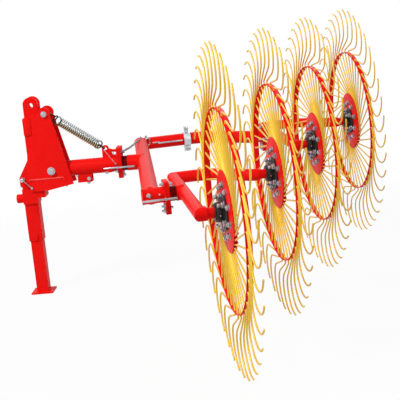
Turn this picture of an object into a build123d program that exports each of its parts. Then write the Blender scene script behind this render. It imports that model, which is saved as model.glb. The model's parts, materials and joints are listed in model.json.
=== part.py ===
from build123d import *
from math import asin, cos, radians, sin, sqrt
import os

# Four-wheel finger-wheel rake with its hitch headstock, at real size in millimetres.
# X runs along the beam away from the tractor's hitch, Y across it and Z up.
# The origin is the centre of the top-link hole, midway between the two ears.

os.makedirs("parts", exist_ok=True)

# Wheels
front_pair_along = 397.0
rear_pair_along = 452.0
pair_spacing_along = 814.0
wheel_pitch_back = 785.0
tip_radius = 715.0
rim_radius = 440.0
rim_width = 28.0
rim_wall = 4.0
tine_count = 40
tine_size = 7.0
tine_lean = 18.0
tine_root_radius = 163.0
tine_hook_angle = 72.0
tine_hook_run = 172.0
tine_tip_lag = 12.0
tine_bend_cut = 30.0
disc_radius = 178.0
disc_wall = 4.0
disc_spacer_outer = 140.0
hub_flange_radius = 80.0
hub_flange_thickness = 10.0
hub_barrel_radius = 43.0
hub_barrel_length = 37.0
hub_cap_radius = 38.0
hub_cap_length = 26.0

# Tubes
beam_radius = 44.5
main_tube_radius = 42.0
frame_tube_radius = 38.0
rocker_tube_radius = 30.2
tube_wall = 5.0
spindle_radius = 24.0
spindle_nose = 12.0
tube_end_gap = 86.0

# Clearances and cutting overrun
seat_gap = 0.3
turn_gap = 0.5
slide_gap = 1.0
overrun = 10.0

# Places of the turning joints, measured along the wheel axes and square to them
rake_turn = 12.0
beam_reach = 470.0
beam_joint_along = -300.0
beam_joint_back = 1705.0
rocker_pivot_back = 570.0
rocker_tube_along = -113.0
rocker_elbow_along = -92.0
rocker_arm_offset = 200.0
rocker_flange_along = -185.0
frame_front_along = -257.0
frame_elbow_along = -105.0
frame_elbow_offset = 270.0
arm_bend_radius = 150.0
arm_end_radius = 60.0
arm_start_radius = 200.0
rocker_arm_end_radius = 70.0
rocker_arm_tail = 31.0
rocker_arm_run = 190.0
frame_arm_straight = 390.0
frame_arm_run = 275.0

# Flange plates of the turning joints
flange_thickness = 12.0
flange_width = 104.0
flange_rise = 66.0
flange_drop = 92.0
beam_flange_rise = 99.0
beam_flange_drop = 79.0
flange_corner = 14.0
shaft_wall = 7.0
beam_shaft_length = 120.0
rocker_shaft_length = 40.0
sleeve_length = 103.0

# Headstock
plate_thickness = 8.0
plate_gap = 100.0
axle_drop = 378.0
plate_left = -50.0
plate_foot_left = -66.0
plate_top = -46.0
plate_bottom = -487.0
plate_bottom_right = -462.0
plate_bottom_right_along = 198.0
plate_bottom_left_along = 54.0
plate_top_right_along = 110.0
plate_top_right_drop = -70.0
spring_bolt_along = 74.0
spring_bolt_drop = -52.0
spring_bolt_boss = 38.0
bolt_radius = 10.0
bolt_head_radius = 17.0
bolt_head_height = 9.0
pivot_along = 78.0
ear_hole_radius = 16.1
ear_width = 84.0
ear_rise = 48.0
ear_drop = 66.0
ear_thickness = 14.0
ear_gap = 52.0
block_width = 48.0
block_height = 100.0
post_size = 80.0
post_wall = 5.0
post_centre = -64.0
post_top = -430.0
post_bottom = -781.0
collar_top = -472.0
collar_height = 88.0
collar_wall = 3.0
post_notch_height = 35.0
post_notch_share = 0.35
bush_radius = 26.0
bush_length = 44.0
bush_drop = -531.0
bush_bore_radius = 9.6
spacer_length = 46.0
spacer_height = 55.0
lug_edge = 20.0
lug_height = 170.0
hitch_pin_radius = 11.0
hitch_pin_shoulder = 2.0
hitch_pin_end = 28.0
hitch_pin_along = -92.0
hitch_pin_drop = -414.0

# Parking leg
leg_wall = 5.0
leg_length = 380.0
leg_foot_size = 130.0
leg_foot_thickness = 8.0

# Spring and the beam's small fittings
spring_coil_radius = 28.0
spring_wire = 8.0
spring_lug_lead = 78.0
spring_lug_rise = 93.0
spring_lug_thickness = 14.0
spring_lug_width = 80.0
spring_lug_hole_radius = 9.0
spring_hook_length = 46.0
spring_coil_start = 96.0
bracket_lead = 140.0
bracket_length = 84.0
bracket_height = 42.0
bracket_width = 50.0
rod_radius = 5.0
beam_rod_lead = 80.0
beam_rod_reach = 86.0
rocker_rod_lead = 110.0
rear_rod_lead = 50.0
rocker_rod_reach = 44.0
arm_rod_start = 0.0
arm_rod_end = 158.0
rod_drop = -12.0
rod_out = 68.0
rod_block_length = 40.0
rod_block_height = 32.0
clamp_along = 190.0
clamp_length = 52.0
clamp_wall = 9.0
clamp_ear_height = 34.0
clamp_ear_thickness = 12.0

axle_height = -axle_drop
floor_height = axle_height - tip_radius


along_dir = Vector(cos(radians(rake_turn)), sin(radians(rake_turn)), 0)
back_dir = Vector(-sin(radians(rake_turn)), cos(radians(rake_turn)), 0)
beam_joint = Vector(beam_reach, 0, axle_height)
rake_origin = beam_joint - along_dir * beam_joint_along - back_dir * beam_joint_back
rake = Plane(origin=rake_origin, x_dir=along_dir, z_dir=(0, 0, 1))


def rake_point(along, back, height=0.0):
    """Return the point at these distances from the front wheel's centre."""
    return rake.from_local_coords(Vector(along, back, height))


def facing_along(along, back, height=0.0):
    """Return a plane square to the wheel axes, its x backwards and its y up."""
    return Plane(origin=rake_point(along, back, height), x_dir=back_dir, z_dir=along_dir)


def wheel_face(along, back):
    """Return a plane through a wheel, as seen from the beam's side."""
    return Plane(origin=rake_point(along, back), x_dir=-back_dir, z_dir=-along_dir)


def tube_plane(start, finish):
    """Return the plane square to the run from start to finish, at start."""
    return Plane(origin=start, x_dir=(0, 0, 1), z_dir=(finish - start).normalized())


def mitre(corner, before, after):
    """Return the plane that halves the corner between two runs, facing the second run."""
    incoming = (corner - before).normalized()
    outgoing = (after - corner).normalized()
    return Plane(origin=corner, x_dir=(0, 0, 1), z_dir=(incoming + outgoing).normalized())


# Side plates, with the rounded lug that carries the spring's bolt
plate_points = [
    (plate_left, plate_top - block_height / 5),
    (plate_left, axle_height + block_height),
    (plate_foot_left, axle_height - block_height / 3),
    (plate_left, plate_bottom),
    (plate_bottom_left_along, plate_bottom),
    (plate_bottom_right_along, plate_bottom_right),
    (plate_top_right_along, plate_top_right_drop),
    (spring_bolt_along, spring_bolt_drop),
    (spring_bolt_along / 2, plate_top),
]

for side_name, side_offset in (("near", plate_gap / 2), ("far", -plate_gap / 2 - plate_thickness)):
    with BuildPart() as side_plate:
        with BuildSketch(Plane.XZ.offset(side_offset)):
            with BuildLine():
                Polyline(plate_points, close=True)
            make_face()
            with Locations((spring_bolt_along, spring_bolt_drop)):
                Circle(spring_bolt_boss)
            with Locations((spring_bolt_along, spring_bolt_drop), (pivot_along, axle_height)):
                Circle(bolt_radius + seat_gap, mode=Mode.SUBTRACT)
        extrude(amount=plate_thickness)
    side_plate.part.label = "side_plate_" + side_name
    export_step(side_plate.part, "parts/side_plate_" + side_name + ".step")

# Top-link ears on the block between the side plates
with BuildPart() as top_link_ears:
    with BuildSketch(Plane.XZ.offset(-ear_gap / 2 - ear_thickness)):
        with Locations((0, (ear_rise - ear_drop) / 2)):
            RectangleRounded(ear_width, ear_rise + ear_drop, ear_width / 2 - seat_gap)
        with Locations((0, -ear_drop / 2 - ear_rise / 4)):
            Rectangle(ear_width, ear_drop - ear_rise / 2)
        Circle(ear_hole_radius, mode=Mode.SUBTRACT)
    extrude(amount=ear_thickness)
    mirror(about=Plane.XZ)
    with BuildSketch(Plane.XZ.offset(-plate_gap / 2 + seat_gap)):
        with Locations((plate_left + block_width / 2, -ear_drop - block_height / 2)):
            Rectangle(block_width, block_height)
    extrude(amount=plate_gap - 2 * seat_gap)
top_link_ears.part.label = "top_link_ears"
export_step(top_link_ears.part, "parts/top_link_ears.step")

# Post that the parking leg slides in
with BuildPart() as mast_post:
    with BuildSketch(Plane.XY.offset(post_bottom)):
        with Locations((post_centre, 0)):
            Rectangle(post_size, post_size)
            Rectangle(post_size - 2 * post_wall, post_size - 2 * post_wall, mode=Mode.SUBTRACT)
    extrude(amount=post_top - post_bottom)
    post_right = post_centre + post_size / 2
    notch_middle = post_right - post_size * post_notch_share
    with BuildSketch(Plane.XZ.offset(post_size / 2 - post_wall)):
        with BuildLine():
            Polyline(
                (notch_middle, post_bottom + post_notch_height),
                (notch_middle, post_bottom),
                (post_right - 2 * post_wall, post_bottom),
                close=True,
            )
        make_face()
    extrude(amount=post_wall + overrun, mode=Mode.SUBTRACT)
mast_post.part.label = "mast_post"
export_step(mast_post.part, "parts/mast_post.step")

# Collar welded round the post under the side plates
with BuildPart() as post_collar:
    with BuildSketch(Plane.XY.offset(collar_top - collar_height)):
        with Locations((post_centre, 0)):
            Rectangle(post_size + 2 * collar_wall, plate_gap - 2 * seat_gap)
            Rectangle(post_size + 2 * seat_gap, post_size + 2 * seat_gap, mode=Mode.SUBTRACT)
    extrude(amount=collar_height)
post_collar.part.label = "post_collar"
export_step(post_collar.part, "parts/post_collar.step")

# Lugs at the plates' lower corner, and the pin through them
lug_gap = post_size + 2 * slide_gap
lug_thickness = (plate_gap - lug_gap) / 2 - seat_gap
lug_right = post_centre + post_size / 2
with BuildPart() as hitch_lugs:
    with BuildSketch(Plane.XZ.offset(lug_gap / 2)):
        with BuildLine():
            Polyline(
                (plate_left, hitch_pin_drop + lug_height * 2 / 3),
                (hitch_pin_along - lug_edge, hitch_pin_drop + lug_edge / 2),
                (hitch_pin_along - lug_edge, hitch_pin_drop - lug_edge * 2),
                (hitch_pin_along + lug_edge / 2, hitch_pin_drop - lug_height / 3),
                (lug_right, hitch_pin_drop - lug_height / 3),
                (lug_right, hitch_pin_drop + lug_edge),
                close=True,
            )
        make_face()
        with Locations((hitch_pin_along, hitch_pin_drop)):
            Circle(hitch_pin_radius + hitch_pin_shoulder + seat_gap, mode=Mode.SUBTRACT)
    extrude(amount=lug_thickness)
    mirror(about=Plane.XZ)
hitch_lugs.part.label = "hitch_lugs"
export_step(hitch_lugs.part, "parts/hitch_lugs.step")

hitch_pin_half = plate_gap / 2 + plate_thickness + hitch_pin_end
with BuildPart() as hitch_pin:
    with BuildSketch(Plane.XZ.offset(-hitch_pin_half)):
        with Locations((hitch_pin_along, hitch_pin_drop)):
            Circle(hitch_pin_radius)
    extrude(amount=2 * hitch_pin_half)
    chamfer(hitch_pin.edges().filter_by(GeomType.CIRCLE), hitch_pin_radius / 4)
    with BuildSketch(Plane.XZ.offset(-hitch_pin_half + hitch_pin_end)):
        with Locations((hitch_pin_along, hitch_pin_drop)):
            Circle(hitch_pin_radius + hitch_pin_shoulder)
    extrude(amount=2 * (hitch_pin_half - hitch_pin_end))
hitch_pin.part.label = "hitch_pin"
export_step(hitch_pin.part, "parts/hitch_pin.step")

# Bush for the lower drawbar pin, its foot welded to the collar's front
collar_left = post_centre - post_size / 2 - collar_wall
with BuildPart() as hitch_bush:
    with BuildSketch(Plane.YZ.offset(collar_left - seat_gap - bush_length)):
        with Locations((0, bush_drop)):
            Circle(bush_radius)
            Circle(bush_bore_radius, mode=Mode.SUBTRACT)
    extrude(amount=bush_length)
    chamfer(hitch_bush.edges().filter_by(GeomType.CIRCLE).group_by(Axis.X)[0].sort_by(SortBy.RADIUS)[-1], collar_wall)
hitch_bush.part.label = "hitch_bush"
export_step(hitch_bush.part, "parts/hitch_bush.step")

# Spacer between the side plates behind the post
collar_right = post_centre + post_size / 2 + collar_wall
with BuildPart() as plate_spacer:
    with BuildSketch(Plane.XZ.offset(-plate_gap / 2 + seat_gap)):
        with Locations((collar_right + seat_gap + spacer_length / 2, collar_top - spacer_height / 2)):
            RectangleRounded(spacer_length, spacer_height, seat_gap * 10)
    extrude(amount=plate_gap - 2 * seat_gap)
plate_spacer.part.label = "plate_spacer"
export_step(plate_spacer.part, "parts/plate_spacer.step")

# Bolts through the side plates: the beam's pivot and the spring's anchor
plate_outside = plate_gap / 2 + plate_thickness
with BuildPart() as headstock_bolts:
    for bolt_x, bolt_z in ((pivot_along, axle_height), (spring_bolt_along, spring_bolt_drop)):
        with BuildSketch(Plane.XZ.offset(-plate_outside - bolt_head_height)):
            with Locations((bolt_x, bolt_z)):
                Circle(bolt_radius)
        extrude(amount=2 * (plate_outside + bolt_head_height))
        for head_side in (-1, 1):
            head_start = head_side * (plate_outside + seat_gap)
            with BuildSketch(Plane.XZ.offset(head_start)):
                with Locations((bolt_x, bolt_z)):
                    RegularPolygon(bolt_head_radius, 6)
            extrude(amount=head_side * bolt_head_height)
headstock_bolts.part.label = "headstock_bolts"
export_step(headstock_bolts.part, "parts/headstock_bolts.step")

# Parking leg with its foot plate
leg_size = post_size - 2 * post_wall - 2 * turn_gap
with BuildPart() as parking_leg:
    with BuildSketch(Plane.XY.offset(floor_height + leg_foot_thickness)):
        with Locations((post_centre, 0)):
            Rectangle(leg_size, leg_size)
            Rectangle(leg_size - 2 * leg_wall, leg_size - 2 * leg_wall, mode=Mode.SUBTRACT)
    extrude(amount=leg_length)
    with BuildSketch(Plane.XY.offset(floor_height)):
        with Locations((post_centre, 0)):
            RectangleRounded(leg_foot_size, leg_foot_size, leg_foot_thickness)
    extrude(amount=leg_foot_thickness)
parking_leg.part.label = "parking_leg"
export_step(parking_leg.part, "parts/parking_leg.step")

# Beam with its pivot bush
beam_start = pivot_along - beam_radius
beam_end = beam_reach - flange_thickness
beam_bore = beam_radius - tube_wall
with BuildPart() as beam_tube:
    with BuildSketch(Plane.YZ.offset(beam_start)):
        with Locations((0, axle_height)):
            Circle(beam_radius)
            Circle(beam_bore, mode=Mode.SUBTRACT)
    extrude(amount=beam_end - beam_start - seat_gap)
    with BuildSketch(Plane.XZ.offset(-plate_gap / 2 + seat_gap)):
        with Locations((pivot_along, axle_height)):
            Circle(2 * bolt_radius)
    extrude(amount=plate_gap - 2 * seat_gap)
    with BuildSketch(Plane.XZ.offset(-plate_gap)):
        with Locations((pivot_along, axle_height)):
            Circle(bolt_radius + seat_gap)
    extrude(amount=2 * plate_gap, mode=Mode.SUBTRACT)
beam_tube.part.label = "beam_tube"
export_step(beam_tube.part, "parts/beam_tube.step")

beam_shaft_radius = beam_bore - turn_gap
with BuildPart() as beam_flange:
    with BuildSketch(Plane.YZ.offset(beam_end)):
        with Locations((0, axle_height + (beam_flange_rise - beam_flange_drop) / 2)):
            RectangleRounded(flange_width, beam_flange_rise + beam_flange_drop, flange_corner)
        with Locations((0, axle_height)):
            Circle(beam_bore, mode=Mode.SUBTRACT)
    extrude(amount=flange_thickness)
beam_flange.part.label = "beam_flange"
export_step(beam_flange.part, "parts/beam_flange.step")

# Lug on the beam that the spring hooks into, its foot cut to the tube
lug_eye_drop = axle_height + spring_lug_rise
spring_lug_along = beam_reach - spring_lug_lead
lug_shoulder_drop = axle_height + beam_flange_rise - flange_corner
with BuildPart() as spring_lug:
    with BuildSketch(Plane.XZ.offset(-spring_lug_thickness / 2)):
        with BuildLine():
            Polyline(
                (spring_lug_along - spring_lug_width / 4, axle_height),
                (spring_lug_along - spring_lug_width / 4, lug_eye_drop),
                (spring_lug_along + spring_lug_width / 4, lug_eye_drop),
                (spring_lug_along + spring_lug_width / 2, lug_shoulder_drop),
                (beam_end - seat_gap, lug_shoulder_drop),
                (beam_end - seat_gap, axle_height),
                close=True,
            )
        make_face()
        with Locations((spring_lug_along, lug_eye_drop)):
            Circle(spring_lug_width / 4)
            Circle(spring_lug_hole_radius, mode=Mode.SUBTRACT)
    extrude(amount=spring_lug_thickness)
    with BuildSketch(Plane.YZ.offset(beam_start)):
        with Locations((0, axle_height)):
            Circle(beam_radius + seat_gap)
    extrude(amount=beam_end - beam_start, mode=Mode.SUBTRACT)
spring_lug.part.label = "spring_lug"
export_step(spring_lug.part, "parts/spring_lug.step")

# Stop bracket under the beam
with BuildPart() as stop_bracket:
    with BuildSketch(Plane.YZ.offset(pivot_along + bracket_lead)):
        with Locations((0, axle_height - beam_radius)):
            Rectangle(bracket_width, 2 * bracket_height)
        with Locations((0, axle_height - beam_radius - tube_wall)):
            Rectangle(bracket_width - 2 * tube_wall, 2 * bracket_height, mode=Mode.SUBTRACT)
        with Locations((0, axle_height - beam_radius - bracket_height + tube_wall / 2)):
            Rectangle(bracket_width, tube_wall)
        with Locations((0, axle_height)):
            Circle(beam_radius + seat_gap, mode=Mode.SUBTRACT)
    extrude(amount=bracket_length)
stop_bracket.part.label = "stop_bracket"
export_step(stop_bracket.part, "parts/stop_bracket.step")

# Spring between the anchor bolt and the lug: a close coil with an eye at each end
spring_top = Vector(spring_bolt_along, 0, spring_bolt_drop)
spring_eye_radius = bolt_radius + seat_gap + spring_wire / 2
spring_low = Vector(spring_lug_along, 0, lug_eye_drop)
spring_dir = (spring_low - spring_top).normalized()
spring_span = (spring_low - spring_top).length
spring_start = Plane(origin=spring_top, x_dir=(0, 1, 0), z_dir=spring_dir)
coil_end = spring_span - spring_hook_length
with BuildPart() as lift_spring:
    with BuildSketch(spring_start.offset(spring_coil_start)):
        Circle(spring_coil_radius)
    extrude(amount=coil_end - spring_coil_start)
    with BuildSketch(spring_start.offset(spring_eye_radius)):
        Circle(spring_wire / 2 - seat_gap)
    extrude(amount=spring_coil_start - spring_eye_radius)
    with BuildSketch(spring_start.offset(coil_end)):
        Circle(spring_wire / 2 - seat_gap)
    extrude(amount=spring_hook_length - 2 * spring_eye_radius)
    eye_normal = Vector(0, 1, 0).cross(spring_dir)
    eye_middle = spring_low - spring_dir * spring_eye_radius
    for ring_middle, ring_facing in ((spring_top, Vector(0, 1, 0)), (eye_middle, eye_normal)):
        with BuildSketch(Plane(origin=ring_middle - ring_facing * spring_wire / 2, z_dir=ring_facing)):
            Circle(spring_eye_radius + spring_wire / 2)
            Circle(spring_eye_radius - spring_wire / 2, mode=Mode.SUBTRACT)
        extrude(amount=spring_wire)
lift_spring.part.label = "lift_spring"
export_step(lift_spring.part, "parts/lift_spring.step")

# Main frame: neck with its turning shaft, cross tube, sleeve and back tube
rear_pivot_back = rocker_pivot_back + 2 * wheel_pitch_back
rear_flange_along = rocker_flange_along + pair_spacing_along
frame_elbow_back = rear_pivot_back + frame_elbow_offset
frame_front = rake_point(frame_front_along, rocker_pivot_back)
frame_elbow = rake_point(frame_elbow_along, frame_elbow_back)
frame_run = frame_elbow - frame_front
neck_start = beam_joint + Vector(turn_gap, 0, 0)
neck_length = (frame_front - neck_start).cross(frame_run).Z / Vector(1, 0, 0).cross(frame_run).Z
neck_plane = Plane.YZ.offset(neck_start.X)
with BuildPart() as frame_neck:
    with BuildSketch(neck_plane):
        with Locations((0, axle_height + (beam_flange_rise - beam_flange_drop) / 2)):
            RectangleRounded(flange_width, beam_flange_rise + beam_flange_drop, flange_corner)
    extrude(amount=flange_thickness)
    with BuildSketch(neck_plane.offset(flange_thickness)):
        with Locations((0, axle_height)):
            Circle(beam_radius)
    extrude(amount=neck_length - flange_thickness)
    with BuildSketch(neck_plane):
        with Locations((0, axle_height)):
            Circle(beam_shaft_radius)
    extrude(amount=-beam_shaft_length)
    with BuildSketch(neck_plane.offset(-beam_shaft_length)):
        with Locations((0, axle_height)):
            Circle(beam_shaft_radius - shaft_wall)
    extrude(amount=beam_shaft_length + neck_length, mode=Mode.SUBTRACT)
    with BuildSketch(tube_plane(frame_front, frame_elbow)):
        Circle(main_tube_radius + seat_gap)
    extrude(amount=frame_run.length, mode=Mode.SUBTRACT)
frame_neck.part.label = "frame_neck"
export_step(frame_neck.part, "parts/frame_neck.step")

frame_bends = [
    frame_elbow,
    rake_point(frame_elbow_along + frame_arm_straight, frame_elbow_back),
    rake_point(frame_elbow_along + frame_arm_straight + frame_arm_run, rear_pivot_back),
    rake_point(rear_flange_along - flange_thickness, rear_pivot_back),
]
frame_mitre = mitre(frame_elbow, frame_front, frame_bends[1])
sleeve_end = rocker_flange_along - flange_thickness
with BuildPart() as main_cross_tube:
    with BuildSketch(tube_plane(frame_front, frame_elbow)):
        Circle(main_tube_radius)
        Circle(main_tube_radius - tube_wall, mode=Mode.SUBTRACT)
    extrude(amount=frame_run.length + 2 * main_tube_radius)
    split(bisect_by=frame_mitre, keep=Keep.BOTTOM)
    with BuildSketch(facing_along(sleeve_end - sleeve_length, rocker_pivot_back)):
        Circle(frame_tube_radius + seat_gap)
    extrude(amount=sleeve_length, mode=Mode.SUBTRACT)
main_cross_tube.part.label = "main_cross_tube"
export_step(main_cross_tube.part, "parts/main_cross_tube.step")

with BuildPart() as front_sleeve:
    with BuildSketch(facing_along(sleeve_end - sleeve_length, rocker_pivot_back)):
        Circle(frame_tube_radius)
        Circle(frame_tube_radius - tube_wall, mode=Mode.SUBTRACT)
    extrude(amount=sleeve_length)
    with BuildSketch(facing_along(sleeve_end, rocker_pivot_back)):
        with Locations((0, (flange_rise - flange_drop) / 2)):
            RectangleRounded(flange_width, flange_rise + flange_drop, flange_corner)
        Circle(frame_tube_radius - tube_wall, mode=Mode.SUBTRACT)
    extrude(amount=flange_thickness)
front_sleeve.part.label = "front_sleeve"
export_step(front_sleeve.part, "parts/front_sleeve.step")

back_lead = (frame_bends[1] - frame_elbow).normalized() * 2 * frame_tube_radius
with BuildPart() as back_tube:
    with BuildLine() as back_path:
        FilletPolyline(frame_elbow - back_lead, *frame_bends[1:], radius=[arm_bend_radius, arm_end_radius])
    with BuildSketch(tube_plane(frame_elbow - back_lead, frame_bends[1])):
        Circle(frame_tube_radius)
    sweep(path=back_path.wires()[0])
    split(bisect_by=frame_mitre, keep=Keep.TOP)
    with BuildSketch(facing_along(rear_flange_along - flange_thickness, rear_pivot_back)):
        with Locations((0, (flange_rise - flange_drop) / 2)):
            RectangleRounded(flange_width, flange_rise + flange_drop, flange_corner)
    extrude(amount=flange_thickness)
    with BuildSketch(facing_along(rear_flange_along, rear_pivot_back)):
        Circle(frame_tube_radius - tube_wall)
    extrude(amount=-rocker_shaft_length, mode=Mode.SUBTRACT)
back_tube.part.label = "back_tube"
export_step(back_tube.part, "parts/back_tube.step")

# Galvanised clamp on the back tube, with an ear above and below
with BuildPart() as tube_clamp:
    with BuildSketch(facing_along(clamp_along - clamp_length / 2, frame_elbow_back)):
        Circle(frame_tube_radius + seat_gap + clamp_wall)
        ear_middle = frame_tube_radius + clamp_ear_height / 2
        with Locations((0, ear_middle), (0, -ear_middle)):
            Rectangle(2 * clamp_ear_thickness, clamp_ear_height)
        Circle(frame_tube_radius + seat_gap, mode=Mode.SUBTRACT)
    extrude(amount=clamp_length)
tube_clamp.part.label = "tube_clamp"
export_step(tube_clamp.part, "parts/tube_clamp.step")

# Rockers, one behind the other, each carrying two wheels
rocker_shaft_radius = frame_tube_radius - tube_wall - turn_gap
rocker_length = wheel_pitch_back + rocker_arm_offset
pivot_share = rocker_pivot_back / rocker_length
rocker_neck_end = rocker_tube_along + (rocker_elbow_along - rocker_tube_along) * pivot_share

# Columns: name, distance along of its second wheel, shift along and back of its first
rockers = (
    ("front_rocker_", front_pair_along, 0, 0),
    ("rear_rocker_", rear_pair_along, pair_spacing_along, 2 * wheel_pitch_back),
)
for rocker_name, pair_along, shift_along, shift_back in rockers:
    arm_end_along = shift_along + pair_along - tube_end_gap
    arm_back = shift_back + rocker_length
    wheel_back = shift_back + wheel_pitch_back
    corner = rake_point(shift_along + rocker_tube_along, shift_back)
    elbow = rake_point(shift_along + rocker_elbow_along, arm_back)
    arm_points = [
        elbow,
        rake_point(arm_end_along - rocker_arm_tail - rocker_arm_run, arm_back),
        rake_point(arm_end_along - rocker_arm_tail, wheel_back),
        rake_point(arm_end_along, wheel_back),
    ]
    corner_mitre = mitre(corner, rake_point(shift_along - tube_end_gap, shift_back), elbow)
    elbow_mitre = mitre(elbow, corner, arm_points[1])

    with BuildPart() as rocker_cross_tube:
        with BuildSketch(tube_plane(corner, elbow).offset(-2 * rocker_tube_radius)):
            Circle(rocker_tube_radius)
            Circle(rocker_tube_radius - tube_wall, mode=Mode.SUBTRACT)
        extrude(amount=(elbow - corner).length + 4 * rocker_tube_radius)
        split(bisect_by=corner_mitre, keep=Keep.TOP)
        split(bisect_by=elbow_mitre, keep=Keep.BOTTOM)
    rocker_cross_tube.part.label = rocker_name + "cross_tube"
    export_step(rocker_cross_tube.part, "parts/" + rocker_name + "cross_tube.step")

    with BuildPart() as rocker_stub:
        with BuildSketch(facing_along(shift_along + rocker_tube_along - 2 * rocker_tube_radius, shift_back)):
            Circle(rocker_tube_radius)
        extrude(amount=-rocker_tube_along - tube_end_gap + 2 * rocker_tube_radius)
        with BuildSketch(facing_along(shift_along - tube_end_gap, shift_back)):
            Circle(spindle_radius)
        extrude(amount=tube_end_gap + spindle_nose)
        split(bisect_by=corner_mitre, keep=Keep.BOTTOM)
    rocker_stub.part.label = rocker_name + "stub"
    export_step(rocker_stub.part, "parts/" + rocker_name + "stub.step")

    arm_lead = (arm_points[1] - elbow).normalized() * 2 * rocker_tube_radius
    arm_radii = [arm_start_radius, rocker_arm_end_radius]
    with BuildPart() as rocker_arm:
        with BuildLine() as arm_path:
            FilletPolyline(elbow - arm_lead, *arm_points[1:], radius=arm_radii)
        with BuildSketch(tube_plane(elbow - arm_lead, arm_points[1])):
            Circle(rocker_tube_radius)
        sweep(path=arm_path.wires()[0])
        with BuildSketch(facing_along(arm_end_along, wheel_back)):
            Circle(spindle_radius)
        extrude(amount=tube_end_gap + spindle_nose)
        split(bisect_by=elbow_mitre, keep=Keep.TOP)
    rocker_arm.part.label = rocker_name + "arm"
    export_step(rocker_arm.part, "parts/" + rocker_name + "arm.step")

    pivot_back = shift_back + rocker_pivot_back
    neck_plane = facing_along(shift_along + rocker_flange_along + turn_gap, pivot_back)
    rocker_neck_length = rocker_neck_end - rocker_flange_along - turn_gap
    with BuildPart() as rocker_neck:
        with BuildSketch(neck_plane):
            with Locations((0, (flange_rise - flange_drop) / 2)):
                RectangleRounded(flange_width, flange_rise + flange_drop, flange_corner)
        extrude(amount=flange_thickness)
        with BuildSketch(neck_plane.offset(flange_thickness)):
            Circle(frame_tube_radius)
        extrude(amount=rocker_neck_length - flange_thickness)
        with BuildSketch(neck_plane):
            Circle(rocker_shaft_radius)
        extrude(amount=-rocker_shaft_length)
        with BuildSketch(neck_plane.offset(-rocker_shaft_length)):
            Circle(rocker_shaft_radius - shaft_wall)
        extrude(amount=rocker_shaft_length + rocker_neck_length, mode=Mode.SUBTRACT)
        with BuildSketch(tube_plane(corner, elbow)):
            Circle(rocker_tube_radius + seat_gap)
        extrude(amount=(elbow - corner).length, mode=Mode.SUBTRACT)
    rocker_neck.part.label = rocker_name + "neck"
    export_step(rocker_neck.part, "parts/" + rocker_name + "neck.step")

# One wheel: rim with its tines, disc pair and hub, copied to the four places
lean = radians(tine_lean)
hook = radians(tine_hook_angle)
lag = radians(tine_tip_lag)
lean_offset = rim_radius * sin(lean)
root_run = rim_radius * cos(lean) - sqrt(tine_root_radius**2 - lean_offset**2)
tine_root = (rim_radius - root_run * cos(lean), -root_run * sin(lean))
rim_turn = (rim_radius + tine_bend_cut * cos(lean) / 2, 0)
hook_end = (rim_radius + tine_hook_run * cos(hook), -tine_hook_run * sin(hook))
tip = (tip_radius * cos(lag), -tip_radius * sin(lag))
crown = (hook_end[0] + 3 * tine_bend_cut, hook_end[1] - 7 * tine_bend_cut / 5)
wheel_plane = wheel_face(0, 0)

with BuildPart() as wheel_rim:
    with BuildSketch(wheel_plane.offset(-rim_width / 2)):
        Circle(rim_radius + rim_wall / 2)
        Circle(rim_radius - rim_wall / 2, mode=Mode.SUBTRACT)
    extrude(amount=rim_width)
    with BuildSketch(wheel_plane.offset(-tine_size / 2)):
        with BuildSketch(mode=Mode.PRIVATE) as tine_shape:
            with BuildLine():
                Polyline(tine_root, rim_turn, hook_end, crown, tip)
            trace(line_width=tine_size)
        with PolarLocations(0, tine_count):
            add(tine_shape.sketch)
    extrude(amount=tine_size)

disc_gap = tine_size + 2 * seat_gap
disc_half = disc_gap / 2 + disc_wall
hub_core_radius = hub_flange_radius * 3 / 4
with BuildPart() as wheel_disc:
    with BuildSketch(wheel_plane.offset(-disc_half)):
        Circle(disc_radius)
        Circle(hub_core_radius, mode=Mode.SUBTRACT)
    extrude(amount=2 * disc_half)
    with BuildSketch(wheel_plane.offset(-disc_gap / 2)):
        Circle(disc_radius + overrun)
        Circle(disc_spacer_outer, mode=Mode.SUBTRACT)
    extrude(amount=disc_gap, mode=Mode.SUBTRACT)

with BuildPart() as wheel_hub:
    with BuildSketch(wheel_plane.offset(disc_half + seat_gap)):
        Circle(hub_flange_radius)
    extrude(amount=hub_flange_thickness)
    with BuildSketch(wheel_plane.offset(-disc_half)):
        Circle(hub_core_radius - seat_gap)
    extrude(amount=2 * disc_half + hub_flange_thickness)
    with BuildSketch(wheel_plane.offset(disc_half + hub_flange_thickness)):
        Circle(hub_barrel_radius)
    extrude(amount=hub_barrel_length)
    with BuildSketch(wheel_plane.offset(-disc_half)):
        Circle(hub_cap_radius)
    extrude(amount=-hub_cap_length)
    with BuildSketch(wheel_plane.offset(-spindle_nose - turn_gap)):
        Circle(spindle_radius + turn_gap)
    bore_depth = spindle_nose + turn_gap + disc_half + hub_flange_thickness + hub_barrel_length
    extrude(amount=bore_depth, mode=Mode.SUBTRACT)

wheel_alongs = (0, front_pair_along, pair_spacing_along, pair_spacing_along + rear_pair_along)
for wheel_number, wheel_along in enumerate(wheel_alongs):
    wheel_place = rake_point(wheel_along, wheel_pitch_back * wheel_number)
    wheel_shift = Location(wheel_place - rake_point(0, 0))
    for piece_name, piece in (("rim", wheel_rim), ("disc", wheel_disc), ("hub", wheel_hub)):
        wheel_piece = piece.part.moved(wheel_shift)
        wheel_piece.label = f"wheel_{wheel_number + 1}_{piece_name}"
        export_step(wheel_piece, f"parts/wheel_{wheel_number + 1}_{piece_name}.step")

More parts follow.
